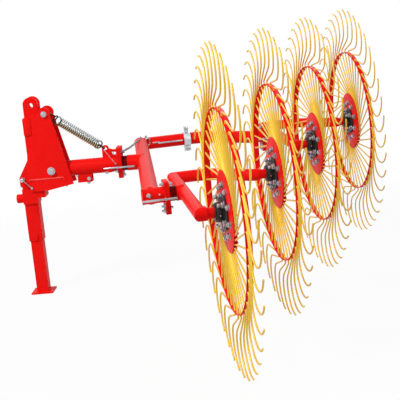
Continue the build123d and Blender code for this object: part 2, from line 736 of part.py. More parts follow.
# Lock rods of the three turning joints, each on a block welded to the fixed side
front_pivot = rake_point(rocker_flange_along, rocker_pivot_back)
rear_pivot = rake_point(rear_flange_along, rear_pivot_back)
rod_places = (
    ("beam_lock_rod", beam_joint, 0, beam_radius, beam_rod_lead, beam_rod_reach),
    ("front_lock_rod", front_pivot, rake_turn, frame_tube_radius, rocker_rod_lead, rocker_rod_reach),
    ("rear_lock_rod", rear_pivot, rake_turn, frame_tube_radius, rear_rod_lead, rocker_rod_reach),
)
for rod_name, rod_joint, rod_turn, carrier_radius, rod_lead, rod_reach in rod_places:
    rod_along = Vector(cos(radians(rod_turn)), sin(radians(rod_turn)), 0)
    rod_side = Vector(sin(radians(rod_turn)), -cos(radians(rod_turn)), 0)
    rod_start = rod_joint - rod_along * rod_lead + rod_side * rod_out + Vector(0, 0, rod_drop)
    block_depth = rod_out - carrier_radius * cos(asin(rod_drop / carrier_radius)) + rod_radius
    block_along = rod_along * (rod_block_length / 2 - overrun)
    block_middle = rod_start + block_along - rod_side * (block_depth / 2 - rod_radius)
    with BuildPart() as lock_rod:
        with BuildSketch(Plane(origin=rod_start - rod_along * overrun, x_dir=rod_side, z_dir=rod_along)):
            Circle(rod_radius)
        extrude(amount=overrun + rod_lead + rod_reach)
        block_base = block_middle - Vector(0, 0, rod_block_height / 2)
        with BuildSketch(Plane(origin=block_base, x_dir=rod_along, z_dir=(0, 0, 1))):
            Rectangle(rod_block_length, block_depth + rod_radius)
        extrude(amount=rod_block_height)
        carrier_start = rod_joint - rod_along * beam_reach / 2
        with BuildSketch(Plane(origin=carrier_start, x_dir=rod_side, z_dir=rod_along)):
            Circle(carrier_radius + seat_gap)
        extrude(amount=beam_reach / 2, mode=Mode.SUBTRACT)
    lock_rod.part.label = rod_name
    export_step(lock_rod.part, "parts/" + rod_name + ".step")

# Stowed rod along the near side of the back tube, ending at the clamp
arm_rod_back = frame_elbow_back - frame_tube_radius - rod_radius - seat_gap
with BuildPart() as arm_rod:
    with BuildSketch(facing_along(arm_rod_start, arm_rod_back)):
        Circle(rod_radius)
    extrude(amount=arm_rod_end - arm_rod_start)
arm_rod.part.label = "arm_rod"
export_step(arm_rod.part, "parts/arm_rod.step")
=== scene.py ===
"""Looks of a four-wheel finger-wheel rake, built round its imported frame, in metres."""

import json
import logging
import math
from dataclasses import dataclass, field
from enum import Enum
from typing import Any, ClassVar, Iterable, Sequence

import bmesh
import bpy
from mathutils import Matrix, Vector

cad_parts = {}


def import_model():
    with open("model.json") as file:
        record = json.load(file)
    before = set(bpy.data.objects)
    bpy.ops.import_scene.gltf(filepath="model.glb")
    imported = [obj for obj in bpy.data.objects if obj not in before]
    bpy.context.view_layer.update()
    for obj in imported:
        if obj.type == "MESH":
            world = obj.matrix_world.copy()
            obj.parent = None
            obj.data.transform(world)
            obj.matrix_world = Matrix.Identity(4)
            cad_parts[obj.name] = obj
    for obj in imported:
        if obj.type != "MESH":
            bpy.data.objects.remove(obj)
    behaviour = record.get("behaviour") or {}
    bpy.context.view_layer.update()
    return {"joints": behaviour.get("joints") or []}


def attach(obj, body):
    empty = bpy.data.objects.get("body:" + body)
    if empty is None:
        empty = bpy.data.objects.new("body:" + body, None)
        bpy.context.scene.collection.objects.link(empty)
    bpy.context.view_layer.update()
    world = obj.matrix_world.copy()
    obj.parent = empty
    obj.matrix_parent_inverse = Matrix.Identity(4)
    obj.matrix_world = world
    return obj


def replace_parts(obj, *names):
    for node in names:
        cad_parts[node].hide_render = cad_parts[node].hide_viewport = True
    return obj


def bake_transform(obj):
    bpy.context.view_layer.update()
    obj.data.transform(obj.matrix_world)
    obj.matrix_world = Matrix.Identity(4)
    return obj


log = logging.getLogger("wheel_rake")

Number = float | int
Colour = tuple[float, float, float, float]

ROUND = 2 * math.pi
MERGE = 0.00001
HAIR = 0.0005
FINE_EDGE = 0.001
EDGE = 0.002
AHEAD, ACROSS, UP = Vector((1, 0, 0)), Vector((0, 1, 0)), Vector((0, 0, 1))
SPRING_TOP = (0.074, 0.0, -0.052)
SPRING_LOW = (0.392, 0.0, -0.285)
COIL_RADIUS = 0.0238


def rgb(red: float, green: float, blue: float) -> Colour:
    """Return an opaque linear colour."""
    return (red, green, blue, 1.0)


WHITE = rgb(1.0, 1.0, 1.0)


class Sock:
    """A node's output socket that can be used in arithmetic."""

    def __init__(self, graph: "Graph", socket: bpy.types.NodeSocket) -> None:
        """Keep the graph and the socket.

        Args:
            graph: The node graph that new Math nodes join.
            socket: The output socket that this value stands for.
        """
        self.graph = graph
        self.socket = socket

    def math(self, operation: str, *others: "Sock | Number") -> "Sock":
        """Return the result of one Math node on this value.

        Args:
            operation: The Math node's operation, such as MULTIPLY.
            others: The second and third values, where the operation has them.

        Returns:
            The node's output.
        """
        values = dict(enumerate((self, *others)))
        made = self.graph.node("ShaderNodeMath", {"operation": operation}, values)
        return self.graph.out(made, "Value")

    def __add__(self, other: "Sock | Number") -> "Sock":
        """Return the sum."""
        return self.math("ADD", other)

    __radd__ = __add__

    def __mul__(self, other: "Sock | Number") -> "Sock":
        """Return the product."""
        return self.math("MULTIPLY", other)

    __rmul__ = __mul__

    def above(self, low: Number, high: Number) -> "Sock":
        """Return 0 below low and 1 above high, with a soft step between."""
        settings = {"interpolation_type": "SMOOTHSTEP", "clamp": True}
        values = {"Value": self, "From Min": low, "From Max": high}
        return self.graph.out(self.graph.node("ShaderNodeMapRange", settings, values), "Result")


class Graph:
    """The node graph of one material."""

    def __init__(self, name: str) -> None:
        """Start an empty material with that name."""
        self.material = bpy.data.materials.new(name)
        self.material.use_nodes = True
        self.tree = self.material.node_tree
        self.tree.nodes.clear()

    def node(
        self,
        kind: str,
        settings: dict[str, Any] | None = None,
        values: dict[str | int, Any] | None = None,
    ) -> bpy.types.Node:
        """Add a node, set it up and link or fill its sockets.

        Args:
            kind: The node's type.
            settings: Its own settings.
            values: What goes into its input sockets, by name or place.

        Returns:
            The new node.
        """
        made = self.tree.nodes.new(kind)
        for key, value in (settings or {}).items():
            setattr(made, key, value)
        for key, value in (values or {}).items():
            if isinstance(value, Sock):
                self.tree.links.new(value.socket, made.inputs[key])
            else:
                made.inputs[key].default_value = value
        return made

    def out(self, node: bpy.types.Node, name: str | int = 0) -> Sock:
        """Return one output of a node."""
        return Sock(self, node.outputs[name])

    def place(self) -> Sock:
        """Return Object coordinates."""
        return self.out(self.node("ShaderNodeTexCoord"), "Object")

    def vector(self, operation: str, *values: Any, out: str = "Vector") -> Sock:
        """Return one output of a Vector Math node on these values."""
        made = self.node("ShaderNodeVectorMath", {"operation": operation}, dict(enumerate(values)))
        return self.out(made, out)

    def noise(self, where: Sock, scale: float, detail: float = 2.0, rough: float = 0.5) -> Sock:
        """Return noise between 0 and 1 at that scale, in copies to the metre."""
        values = {"Vector": where, "Scale": scale, "Detail": detail, "Roughness": rough}
        return self.out(self.node("ShaderNodeTexNoise", {}, values), 0)

    def mix(self, share: Sock | float, low: Sock | Colour, high: Sock | Colour) -> Sock:
        """Return a colour between low and high by that share."""
        settings = {"data_type": "RGBA", "clamp_factor": True}
        return self.out(self.node("ShaderNodeMix", settings, {0: share, 6: low, 7: high}), 2)

    def bump(self, height: Sock, distance: float, strength: float = 1.0) -> Sock:
        """Return a normal bent by a height, with its full depth in metres."""
        values = {"Height": height, "Distance": distance, "Strength": strength}
        return self.out(self.node("ShaderNodeBump", {}, values), "Normal")

    def surface(self, values: dict[str | int, Any]) -> bpy.types.Material:
        """Finish the material with one Principled shader.

        Args:
            values: What goes into the shader's sockets.

        Returns:
            The finished material.
        """
        shader = self.node("ShaderNodeBsdfPrincipled", {}, values)
        self.node("ShaderNodeOutputMaterial", {}, {"Surface": self.out(shader, "BSDF")})
        return self.material


@dataclass(frozen=True)
class Paint:
    """Sprayed gloss paint: a little orange peel, and thinner paint that varies slowly."""

    name: str
    slot: str
    colour: Colour
    deep: Colour
    roughness: float = 0.4
    coat: float = 0.0
    specular: float = 0.05
    peel_scale: float = 420.0
    peel_depth: float = 0.0002
    drift_scale: float = 7.0
    fleck_scale: float = 60.0
    drift_share: float = 0.6
    thin_range: tuple[float, float] = (0.42, 0.72)
    matt_range: float = 0.12
    peel_strength: float = 0.35
    coat_roughness: float = 0.1

    def material(self) -> bpy.types.Material:
        """Return the paint's material."""
        graph = Graph(self.name)
        here = graph.place()
        drift = graph.noise(here, self.drift_scale, detail=3.0)
        fleck = graph.noise(here, self.fleck_scale, detail=4.0, rough=0.6)
        peel = graph.noise(here, self.peel_scale)
        thin = drift * self.drift_share + fleck * (1 - self.drift_share)
        tone = graph.mix(thin.above(*self.thin_range), self.colour, self.deep)
        return graph.surface(
            {
                "Base Color": tone,
                "Roughness": fleck * self.matt_range + (self.roughness - self.matt_range / 2),
                "Specular IOR Level": self.specular,
                "Coat Weight": self.coat,
                "Coat Roughness": self.coat_roughness,
                "Normal": graph.bump(peel + fleck * 0.5, self.peel_depth, self.peel_strength),
            }
        )


@dataclass(frozen=True)
class Plating:
    """Plated or bare metal with a fine grain, a drift of tint and faint stains."""

    name: str
    slot: str
    colour: Colour
    tint: Colour
    roughness: float = 0.28
    grain_scale: float = 900.0
    drift_scale: float = 30.0
    spangle_scale: float = 0.0
    tint_range: tuple[float, float] = (0.35, 0.68)
    spangle_share: float = 0.6
    matt_range: float = 0.1
    grain_depth: float = 0.00005
    grain_strength: float = 0.4

    def material(self) -> bpy.types.Material:
        """Return the metal's material."""
        graph = Graph(self.name)
        here = graph.place()
        grain = graph.noise(here, self.grain_scale)
        drift = graph.noise(here, self.drift_scale, detail=3.0)
        share = drift.above(*self.tint_range)
        if self.spangle_scale:
            cells = graph.node("ShaderNodeTexVoronoi", {}, {"Vector": here, "Scale": self.spangle_scale})
            level = graph.node("ShaderNodeSeparateColor", {}, {0: graph.out(cells, "Color")})
            share = share * (1 - self.spangle_share) + graph.out(level, 0) * self.spangle_share
        return graph.surface(
            {
                "Base Color": self.tone(graph, here, share),
                "Metallic": 1.0,
                "Roughness": grain * self.matt_range
                + share * self.matt_range
                + (self.roughness - self.matt_range),
                "Normal": graph.bump(grain, self.grain_depth, self.grain_strength),
            }
        )

    def tone(self, graph: Graph, here: Sock, share: Sock) -> Sock:
        """Return the colour at a place, with that share of the tint."""
        return graph.mix(share, self.colour, self.tint)


@dataclass(frozen=True)
class CoilPlating(Plating):
    """Plating of the lift spring: bright above and golden below, with painted shade darkening the wire inside
    the coil.
    """

    # painted shade: the near-black colour of the wire's inner side, where the coil shades itself
    painted_inner_shade: Colour = (0.05, 0.035, 0.02, 1.0)
    silver_range: tuple[float, float] = (-0.02, 0.012)
    painted_inner_shade_range: tuple[float, float] = (COIL_RADIUS - 0.002, COIL_RADIUS + 0.001)
    tint_share: float = 0.15

    def tone(self, graph: Graph, here: Sock, share: Sock) -> Sock:
        """Return the colour at a place on the coil's wire, with painted shade where it faces the coil's axis.
        """
        way = (Vector(SPRING_LOW) - Vector(SPRING_TOP)).normalized()
        run = graph.vector("SUBTRACT", here, SPRING_TOP)
        reach = graph.vector("LENGTH", graph.vector("CROSS_PRODUCT", run, tuple(way)), out="Value")
        rise = graph.vector("DOT_PRODUCT", run, (-way.z, 0.0, way.x), out="Value")
        above = rise.above(*self.silver_range)
        skin = graph.mix(above + share * self.tint_share, self.tint, self.colour)
        # painted shade: nearer the axis than the coil's radius, the wire takes the dark inner colour
        return graph.mix(reach.above(*self.painted_inner_shade_range), self.painted_inner_shade, skin)


class Finish(Enum):
    """The finishes of the rake."""

    RED = Paint("gloss_red", "red_paint", rgb(0.87, 0.008, 0.006), rgb(0.78, 0.004, 0.004))
    # painted shade: near-black red for the rings behind the joint flanges, standing for the shaded gap there
    DEEP_RED = Paint("painted_shade_red", "red_paint", rgb(0.17, 0.002, 0.003), rgb(0.1, 0.001, 0.002), roughness=0.42)
    YELLOW = Paint(
        "tine_yellow",
        "tine_yellow",
        rgb(0.98, 0.82, 0.15),
        rgb(0.94, 0.7, 0.08),
        roughness=0.38,
        coat=0.05,
        specular=0.15,
        peel_scale=500.0,
        peel_depth=0.0001,
        drift_scale=9.0,
    )
    # weld beads: a lighter, pinker red than the paint, partly a painted highlight for the glints along the
    # bead
    WELD = Paint(
        "weld_glint_red",
        "red_paint",
        rgb(0.93, 0.06, 0.05),
        rgb(0.85, 0.02, 0.02),
        roughness=0.26,
        coat=0.5,
        specular=0.5,
    )
    BLACK = Paint(
        "hub_black",
        "hub_black",
        rgb(0.008, 0.008, 0.01),
        rgb(0.025, 0.025, 0.028),
        roughness=0.3,
        coat=0.2,
        specular=0.4,
    )
    ZINC = Plating("bright_zinc", "zinc", rgb(0.52, 0.53, 0.56), rgb(0.36, 0.37, 0.41), roughness=0.3)
    DULL_ZINC = Plating("dull_zinc", "zinc", rgb(0.3, 0.31, 0.34), rgb(0.16, 0.16, 0.19), roughness=0.36)
    # the spring's material carries the plating and also painted shade inside the coil
    SPRING = CoilPlating(
        "spring_zinc_inner_shade", "spring_steel", rgb(0.36, 0.4, 0.39), rgb(0.55, 0.4, 0.14), roughness=0.32
    )
    GALVANISED = Plating(
        "galvanised",
        "galvanised",
        rgb(0.25, 0.32, 0.36),
        rgb(0.36, 0.44, 0.48),
        roughness=0.45,
        grain_scale=700.0,
        drift_scale=25.0,
        spangle_scale=160.0,
    )

    def dress(self, piece: bpy.types.Object) -> None:
        """Give a piece this finish's material.

        Args:
            piece: The object to dress.
        """
        found = bpy.data.materials.get(self.value.name) or self.value.material()
        piece.data.materials.clear()
        piece.data.materials.append(found)


def facing(origin: Vector, normal: Vector, side: Vector = UP) -> Matrix:
    """Return the place whose Z runs along normal and whose X lies as near as it can to side.

    Args:
        origin: Where the place is.
        normal: Its Z direction.
        side: A direction that its X should follow.

    Returns:
        The placing matrix.
    """
    z = normal.normalized()
    if abs(z.dot(side.normalized())) > 0.999:
        side = AHEAD
    x = (side - z * side.dot(z)).normalized()
    y = z.cross(x)
    turned = Matrix((x, y, z)).transposed().to_4x4()
    return Matrix.Translation(origin) @ turned


def raised(place: Matrix, height: float) -> Matrix:
    """Return the place that lies higher along a place's Z."""
    return place @ Matrix.Translation((0, 0, height))


def flipped(place: Matrix) -> Matrix:
    """Return a place turned upside down."""
    return place @ Matrix.Rotation(ROUND / 2, 4, "X")


class Blank:
    """A mesh in the making, and the shop's ways of adding to it."""

    def __init__(self) -> None:
        """Start with an empty mesh."""
        self.bm = bmesh.new()

    def round_edges(self, verts: Iterable[bmesh.types.BMVert], width: float, steps: int = 2) -> None:
        """Round the sharp edges among these vertices.

        Args:
            verts: Vertices whose edges are looked at.
            width: The bevel's width.
            steps: How many faces each bevel has.
        """
        edges = {edge for vert in verts for edge in vert.link_edges}
        sharp = [edge for edge in edges if edge.is_manifold and edge.calc_face_angle(0) > math.radians(30)]
        self.bevel(sharp, width, steps, "EDGES")

    def bevel(self, geometry: Sequence[Any], width: float, steps: int, affect: str) -> None:
        """Round these edges or corners by a width, with that many steps."""
        shape = {"profile": 0.5, "material": -1, "clamp_overlap": True}
        bmesh.ops.bevel(self.bm, geom=geometry, offset=width, segments=steps, affect=affect, **shape)

    def disc(self, place: Matrix, radius: float, height: float, sides: int = 32, edge: float = 0.0) -> None:
        """Add a round bar that stands on a place.

        Args:
            place: The place of its lower end, which it rises from.
            radius: Its radius.
            height: Its height.
            sides: How many sides it has, 6 for a hexagon.
            edge: The width that its edges are rounded by.
        """
        made = bmesh.ops.create_cone(
            self.bm,
            cap_ends=True,
            segments=sides,
            radius1=radius,
            radius2=radius,
            depth=height,
            matrix=raised(place, height / 2),
        )
        if edge:
            rims = {
                edge_found
                for vert in made["verts"]
                for edge_found in vert.link_edges
                if sides == 6 or any(len(face.verts) > 4 for face in edge_found.link_faces)
            }
            self.bevel(list(rims), edge, 2, "EDGES")

    def stack(self, place: Matrix, steps: Sequence[tuple[float, float, float]]) -> None:
        """Add round steps one on the other: the radius, height and edge of each."""
        for radius, height, edge in steps:
            self.disc(place, radius, height, 48, edge)
            place = raised(place, height)

    def block(self, place: Matrix, size: Sequence[float], edge: float) -> None:
        """Add a block centred on a place, with rounded edges.

        Args:
            place: The place of its middle.
            size: Its three sizes.
            edge: The width that its edges are rounded by.
        """
        scaled = place @ Matrix.Diagonal((*size, 1.0))
        made = bmesh.ops.create_cube(self.bm, size=1.0, matrix=scaled)
        self.round_edges(made["verts"], edge)

    def plate(
        self, place: Matrix, outline: Sequence[Sequence[float]], depth: float, corner: float, edge: float
    ) -> None:
        """Add a plate whose corners are rounded, its outline on a place's X and Y.

        Args:
            place: The place of its first face; it grows along Z.
            outline: The corners of the outline.
            depth: The plate's thickness.
            corner: The radius of its corners.
            edge: The width that its edges are rounded by.
        """
        before = set(self.bm.faces)
        verts = [self.bm.verts.new(place @ Vector((x, y, 0))) for x, y in outline]
        self.bm.faces.new(verts)
        if corner:
            self.bevel(verts, corner, 6, "VERTICES")
        face = max((made for made in self.bm.faces if made not in before), key=lambda made: made.calc_area())
        grown = bmesh.ops.extrude_face_region(self.bm, geom=[face], use_keep_orig=True)
        raised = [item for item in grown["geom"] if isinstance(item, bmesh.types.BMVert)]
        bmesh.ops.translate(self.bm, verts=raised, vec=place.to_3x3() @ Vector((0, 0, depth)))
        self.round_edges([*face.verts, *raised], edge)

    def flange(self, place: Matrix, size: tuple[float, float, float], wall: float) -> None:
        """Add a flange plate of that rise, drop and half width, with rounded corners."""
        rise, drop, half = size
        outline = [(rise, -half), (rise, half), (-drop, half), (-drop, -half)]
        self.plate(place, outline, wall, corner=0.014, edge=0.0015)

    def band(self, place: Matrix, inner: float, wall: float, width: float, steps: int, edge: float) -> None:
        """Add a flat band bent round a place's Z.

        Args:
            place: The band's middle.
            inner: Its inner radius.
            wall: Its thickness.
            width: How wide it is along Z.
            steps: How many steps go round it.
            edge: The width that its edges are rounded by.
        """
        before = set(self.bm.verts)
        corners = ((0, 0), (wall, 0), (wall, width), (0, width))
        verts = [self.bm.verts.new(place @ Vector((inner + x, 0, z - width / 2))) for x, z in corners]
        edges = [self.bm.edges.new((verts[k], verts[k - 1])) for k in range(4)]
        bmesh.ops.spin(
            self.bm,
            geom=edges,
            cent=place.translation,
            axis=place.to_3x3() @ UP,
            angle=ROUND,
            steps=steps,
            use_merge=True,
        )
        self.round_edges([vert for vert in self.bm.verts if vert not in before], edge)

    def bar(self, start: Vector, end: Vector, radius: float, sides: int = 40) -> None:
        """Add a straight closed round bar between two points."""
        Bender(self, start, end - start, radius, sides).push((end - start).length).close()

    def ball(self, centre: Vector, radius: float) -> None:
        """Add a small ball."""
        bmesh.ops.create_icosphere(self.bm, subdivisions=2, radius=radius, matrix=Matrix.Translation(centre))

    def link(self, place: Matrix, length: float, radius: float, wire: float) -> None:
        """Add one oval chain link that lies on a place's X and Y, its length on X.

        Args:
            place: The link's middle.
            length: Between the middles of its two round ends.
            radius: The radius of its ends, to the wire's middle.
            wire: The wire's radius.
        """
        for vert in self.ring(place, radius, wire, 6, 16):
            run = (vert.co - place.translation).dot(place.to_3x3() @ AHEAD)
            vert.co += place.to_3x3() @ Vector((math.copysign(length / 2, run), 0, 0))

    def ring(self, place: Matrix, radius: float, wire: float, sides: int = 10, steps: int = 48) -> list[Any]:
        """Add a closed ring of round wire about a place's Z.

        Args:
            place: The ring's middle.
            radius: From the middle to the wire's middle.
            wire: The wire's radius.
            sides: How many sides the wire has.
            steps: How many steps go round the ring.

        Returns:
            The ring's vertices.
        """
        before = set(self.bm.verts)
        start = place @ Matrix.Translation((radius, 0, 0)) @ Matrix.Rotation(ROUND / 4, 4, "X")
        made = bmesh.ops.create_circle(self.bm, cap_ends=False, segments=sides, radius=wire, matrix=start)
        edges = list({edge for vert in made["verts"] for edge in vert.link_edges})
        bmesh.ops.spin(
            self.bm,
            geom=edges,
            cent=place.translation,
            axis=place.to_3x3() @ UP,
            angle=ROUND,
            steps=steps,
            use_merge=True,
        )
        return [vert for vert in self.bm.verts if vert not in before]

    def piece(self, name: str, finish: Finish, body: str, smooth: float = 40.0) -> bpy.types.Object:
        """Turn the mesh into a dressed object that rides on a body.

        Args:
            name: The piece's name.
            finish: Its finish.
            body: The body that it moves with, or none to leave it on no body.
            smooth: Edges sharper than this many degrees stay sharp.

        Returns:
            The finished object.
        """
        bmesh.ops.remove_doubles(self.bm, verts=self.bm.verts, dist=MERGE)
        bmesh.ops.recalc_face_normals(self.bm, faces=self.bm.faces)
        mesh = bpy.data.meshes.new(name)
        self.bm.to_mesh(mesh)
        self.bm.free()
        made = bpy.data.objects.new(name, mesh)
        bpy.context.scene.collection.objects.link(made)
        shade(made, smooth)
        finish.dress(made)
        if body:
            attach(made, body)
        log.info("%s on %s: %d faces", name, body or "two bodies", len(mesh.polygons))
        return made


def shade(piece: bpy.types.Object, smooth: float) -> None:
    """Shade a piece smooth, with its sharper edges kept.

    Args:
        piece: The object.
        smooth: Edges sharper than this many degrees stay sharp.
    """
    mesh = piece.data
    mesh.polygons.foreach_set("use_smooth", [True] * len(mesh.polygons))
    mesh.set_sharp_from_angle(angle=math.radians(smooth))


class Bender:
    """A tube or wire that is pushed straight and bent, as on a bending bench."""

    def __init__(self, blank: Blank, start: Vector, heading: Vector, radius: float, sides: int = 40) -> None:
        """Clamp the first ring of the tube.

        Args:
            blank: The mesh that the tube joins.
            start: Where the tube begins.
            heading: The direction in which it starts.
            radius: Its radius.
            sides: How many sides it has.
        """
        self.blank = blank
        self.tip = start.copy()
        self.heading = heading.normalized()
        made = bmesh.ops.create_circle(
            blank.bm, cap_ends=False, segments=sides, radius=radius, matrix=facing(start, heading)
        )
        self.first = list({edge for vert in made["verts"] for edge in vert.link_edges})
        self.edges = self.first

    def push(self, length: float) -> "Bender":
        """Lengthen the tube straight on.

        Args:
            length: By how much.

        Returns:
            This tube.
        """
        grown = bmesh.ops.extrude_edge_only(self.blank.bm, edges=self.edges)["geom"]
        verts = [item for item in grown if isinstance(item, bmesh.types.BMVert)]
        self.edges = [item for item in grown if isinstance(item, bmesh.types.BMEdge)]
        bmesh.ops.translate(self.blank.bm, verts=verts, vec=self.heading * length)
        self.tip = self.tip + self.heading * length
        return self

    def bend(self, axis: Vector, angle: float, radius: float, steps: int = 0) -> "Bender":
        """Bend the tube on.

        Args:
            axis: The axis that it turns about, by the right-hand rule.
            angle: How far it turns, in radians.
            radius: The bend's middle radius.
            steps: How many steps the bend has, or 0 to suit the angle.

        Returns:
            This tube.
        """
        axis = axis.normalized()
        centre = self.tip + axis.cross(self.heading) * math.copysign(radius, angle)
        steps = steps or max(3, round(math.degrees(abs(angle)) / 7))
        turned = bmesh.ops.spin(
            self.blank.bm, geom=self.edges, cent=centre, axis=axis, angle=angle, steps=steps, use_merge=False
        )
        self.edges = [item for item in turned["geom_last"] if isinstance(item, bmesh.types.BMEdge)]
        spun = Matrix.Rotation(angle, 3, axis)
        self.tip = centre + spun @ (self.tip - centre)
        self.heading = spun @ self.heading
        return self

    def follow(self, points: Sequence[Vector], radii: Sequence[float]) -> "Bender":
        """Go from the tip through points, with a bend at each but the last.

        Args:
            points: The corners that the tube goes round, and its end.
            radii: The radius of each bend.

        Returns:
            This tube.
        """
        for corner, after, radius in zip(points, points[1:], radii):
            way = (after - corner).normalized()
            angle = self.heading.angle(way)
            cut = radius * math.tan(angle / 2)
            self.push((corner - self.tip).length - cut)
            self.bend(self.heading.cross(way), angle, radius)
        self.push((points[-1] - self.tip).length)
        return self

    def close(self) -> None:
        """Close both ends."""
        for edges in (self.first, self.edges):
            bmesh.ops.holes_fill(self.blank.bm, edges=edges, sides=0)


def trim(blank: Blank, verts: Iterable[Any], at: Vector, outward: Vector) -> None:
    """Cut these vertices' shape at a plane, drop what lies outward and close the cut.

    Args:
        blank: The mesh.
        verts: The vertices of the shape to cut.
        at: A point of the plane.
        outward: The side that goes.
    """
    chosen = set(verts)
    edges = {edge for vert in chosen for edge in vert.link_edges}
    faces = {face for vert in chosen for face in vert.link_faces}
    cut = bmesh.ops.bisect_plane(
        blank.bm,
        geom=[*chosen, *edges, *faces],
        plane_co=at,
        plane_no=outward,
        clear_outer=True,
        dist=MERGE,
    )
    loop = [item for item in cut["geom_cut"] if isinstance(item, bmesh.types.BMEdge)]
    bmesh.ops.holes_fill(blank.bm, edges=loop, sides=0)


@dataclass(frozen=True)
class Bolt:
    """A hexagon bolt with a washer: radius, height and edge of each as shares of its thread's radius."""

    thread: float
    washer_share: ClassVar[tuple[float, float, float]] = (2.05, 0.32, 0.08)
    head_share: ClassVar[tuple[float, float, float]] = (1.72, 1.3, 0.16)
    stem_edge_share: ClassVar[float] = 0.25

    def head(self, blank: Blank, place: Matrix, stem: float = 0.0) -> None:
        """Add a washer, a head and, past it, a length of thread.

        Args:
            blank: The mesh.
            place: Where the washer lies, with Z outwards.
            stem: How far the thread reaches past the head.
        """
        for sides, shares in ((20, self.washer_share), (6, self.head_share)):
            radius, height, edge = (self.thread * share for share in shares)
            blank.disc(place, radius, height, sides, edge)
            place = raised(place, height)
        if stem:
            blank.disc(place, self.thread, stem, 14, self.thread * self.stem_edge_share)


@dataclass
class RakeFrame:
    """Directions and centres of the turned part of the rake, read from its joints."""

    joints: Sequence[dict[str, Any]]
    along: Vector = field(init=False)
    back: Vector = field(init=False)
    origin: Vector = field(init=False)

    def __post_init__(self) -> None:
        """Work out the wheels' axis, the way back and the front wheel's centre."""
        front = self.joint("wheel_1_spin")
        self.along = Vector(front["axis"]).normalized()
        self.back = UP.cross(self.along)
        self.origin = Vector(front["pos_m"])

    def joint(self, name: str) -> dict[str, Any]:
        """Return the joint with that name."""
        return next(joint for joint in self.joints if joint["name"] == name)

    def centre(self, name: str) -> Vector:
        """Return the place of a joint."""
        return Vector(self.joint(name)["pos_m"])

    def point(self, along: float, back: float, height: float = 0.0) -> Vector:
        """Return the point at these distances from the front wheel's centre."""
        return self.origin + self.along * along + self.back * back + Vector((0, 0, height))

    def measure(self, place: Vector) -> tuple[float, float]:
        """Return how far along and back a place is from the front wheel's centre."""
        run = place - self.origin
        return run.dot(self.along), run.dot(self.back)


@dataclass(frozen=True)
class Crease:
    """A line along which a plate is bent: what lies past it leans over."""

    at: Vector
    outward: Vector
    lean: Vector

    def press(self, blank: Blank) -> None:
        """Cut the mesh at the line and lean over what lies past it."""
        bm = blank.bm
        geometry = [*bm.verts, *bm.edges, *bm.faces]
        bmesh.ops.bisect_plane(bm, geom=geometry, plane_co=self.at, plane_no=self.outward, dist=MERGE)
        for vert in bm.verts:
            past = (vert.co - self.at).dot(self.outward)
            if past > 0:
                vert.co += self.lean * past


@dataclass
class CadCopy:
    """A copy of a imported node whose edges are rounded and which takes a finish."""

    node: str
    finish: Finish
    edge: float = 0.0018
    steps: int = 3
    creases: Sequence[Crease] = ()

    def build(self, body: str) -> bpy.types.Object:
        """Copy the node, merge its triangles, round its edges and hide it.

        Args:
            body: The body that it moves with.

        Returns:
            The finished piece.
        """
        blank = Blank()
        blank.bm.from_mesh(bpy.data.objects[self.node].data)
        bmesh.ops.remove_doubles(blank.bm, verts=blank.bm.verts, dist=MERGE)
        bmesh.ops.dissolve_limit(
            blank.bm,
            angle_limit=math.radians(1.0),
            use_dissolve_boundaries=False,
            verts=blank.bm.verts,
            edges=blank.bm.edges,
        )
        for crease in self.creases:
            crease.press(blank)
        made = blank.piece(self.node + "_dressed", self.finish, body, 2.5 if self.creases else 40.0)
        rounded = made.modifiers.new("rounded", "BEVEL")
        rounded.width = self.edge
        rounded.segments = self.steps
        rounded.limit_method = "ANGLE"
        rounded.angle_limit = math.radians(40)
        rounded.harden_normals = True
        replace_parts(made, self.node)
        return made


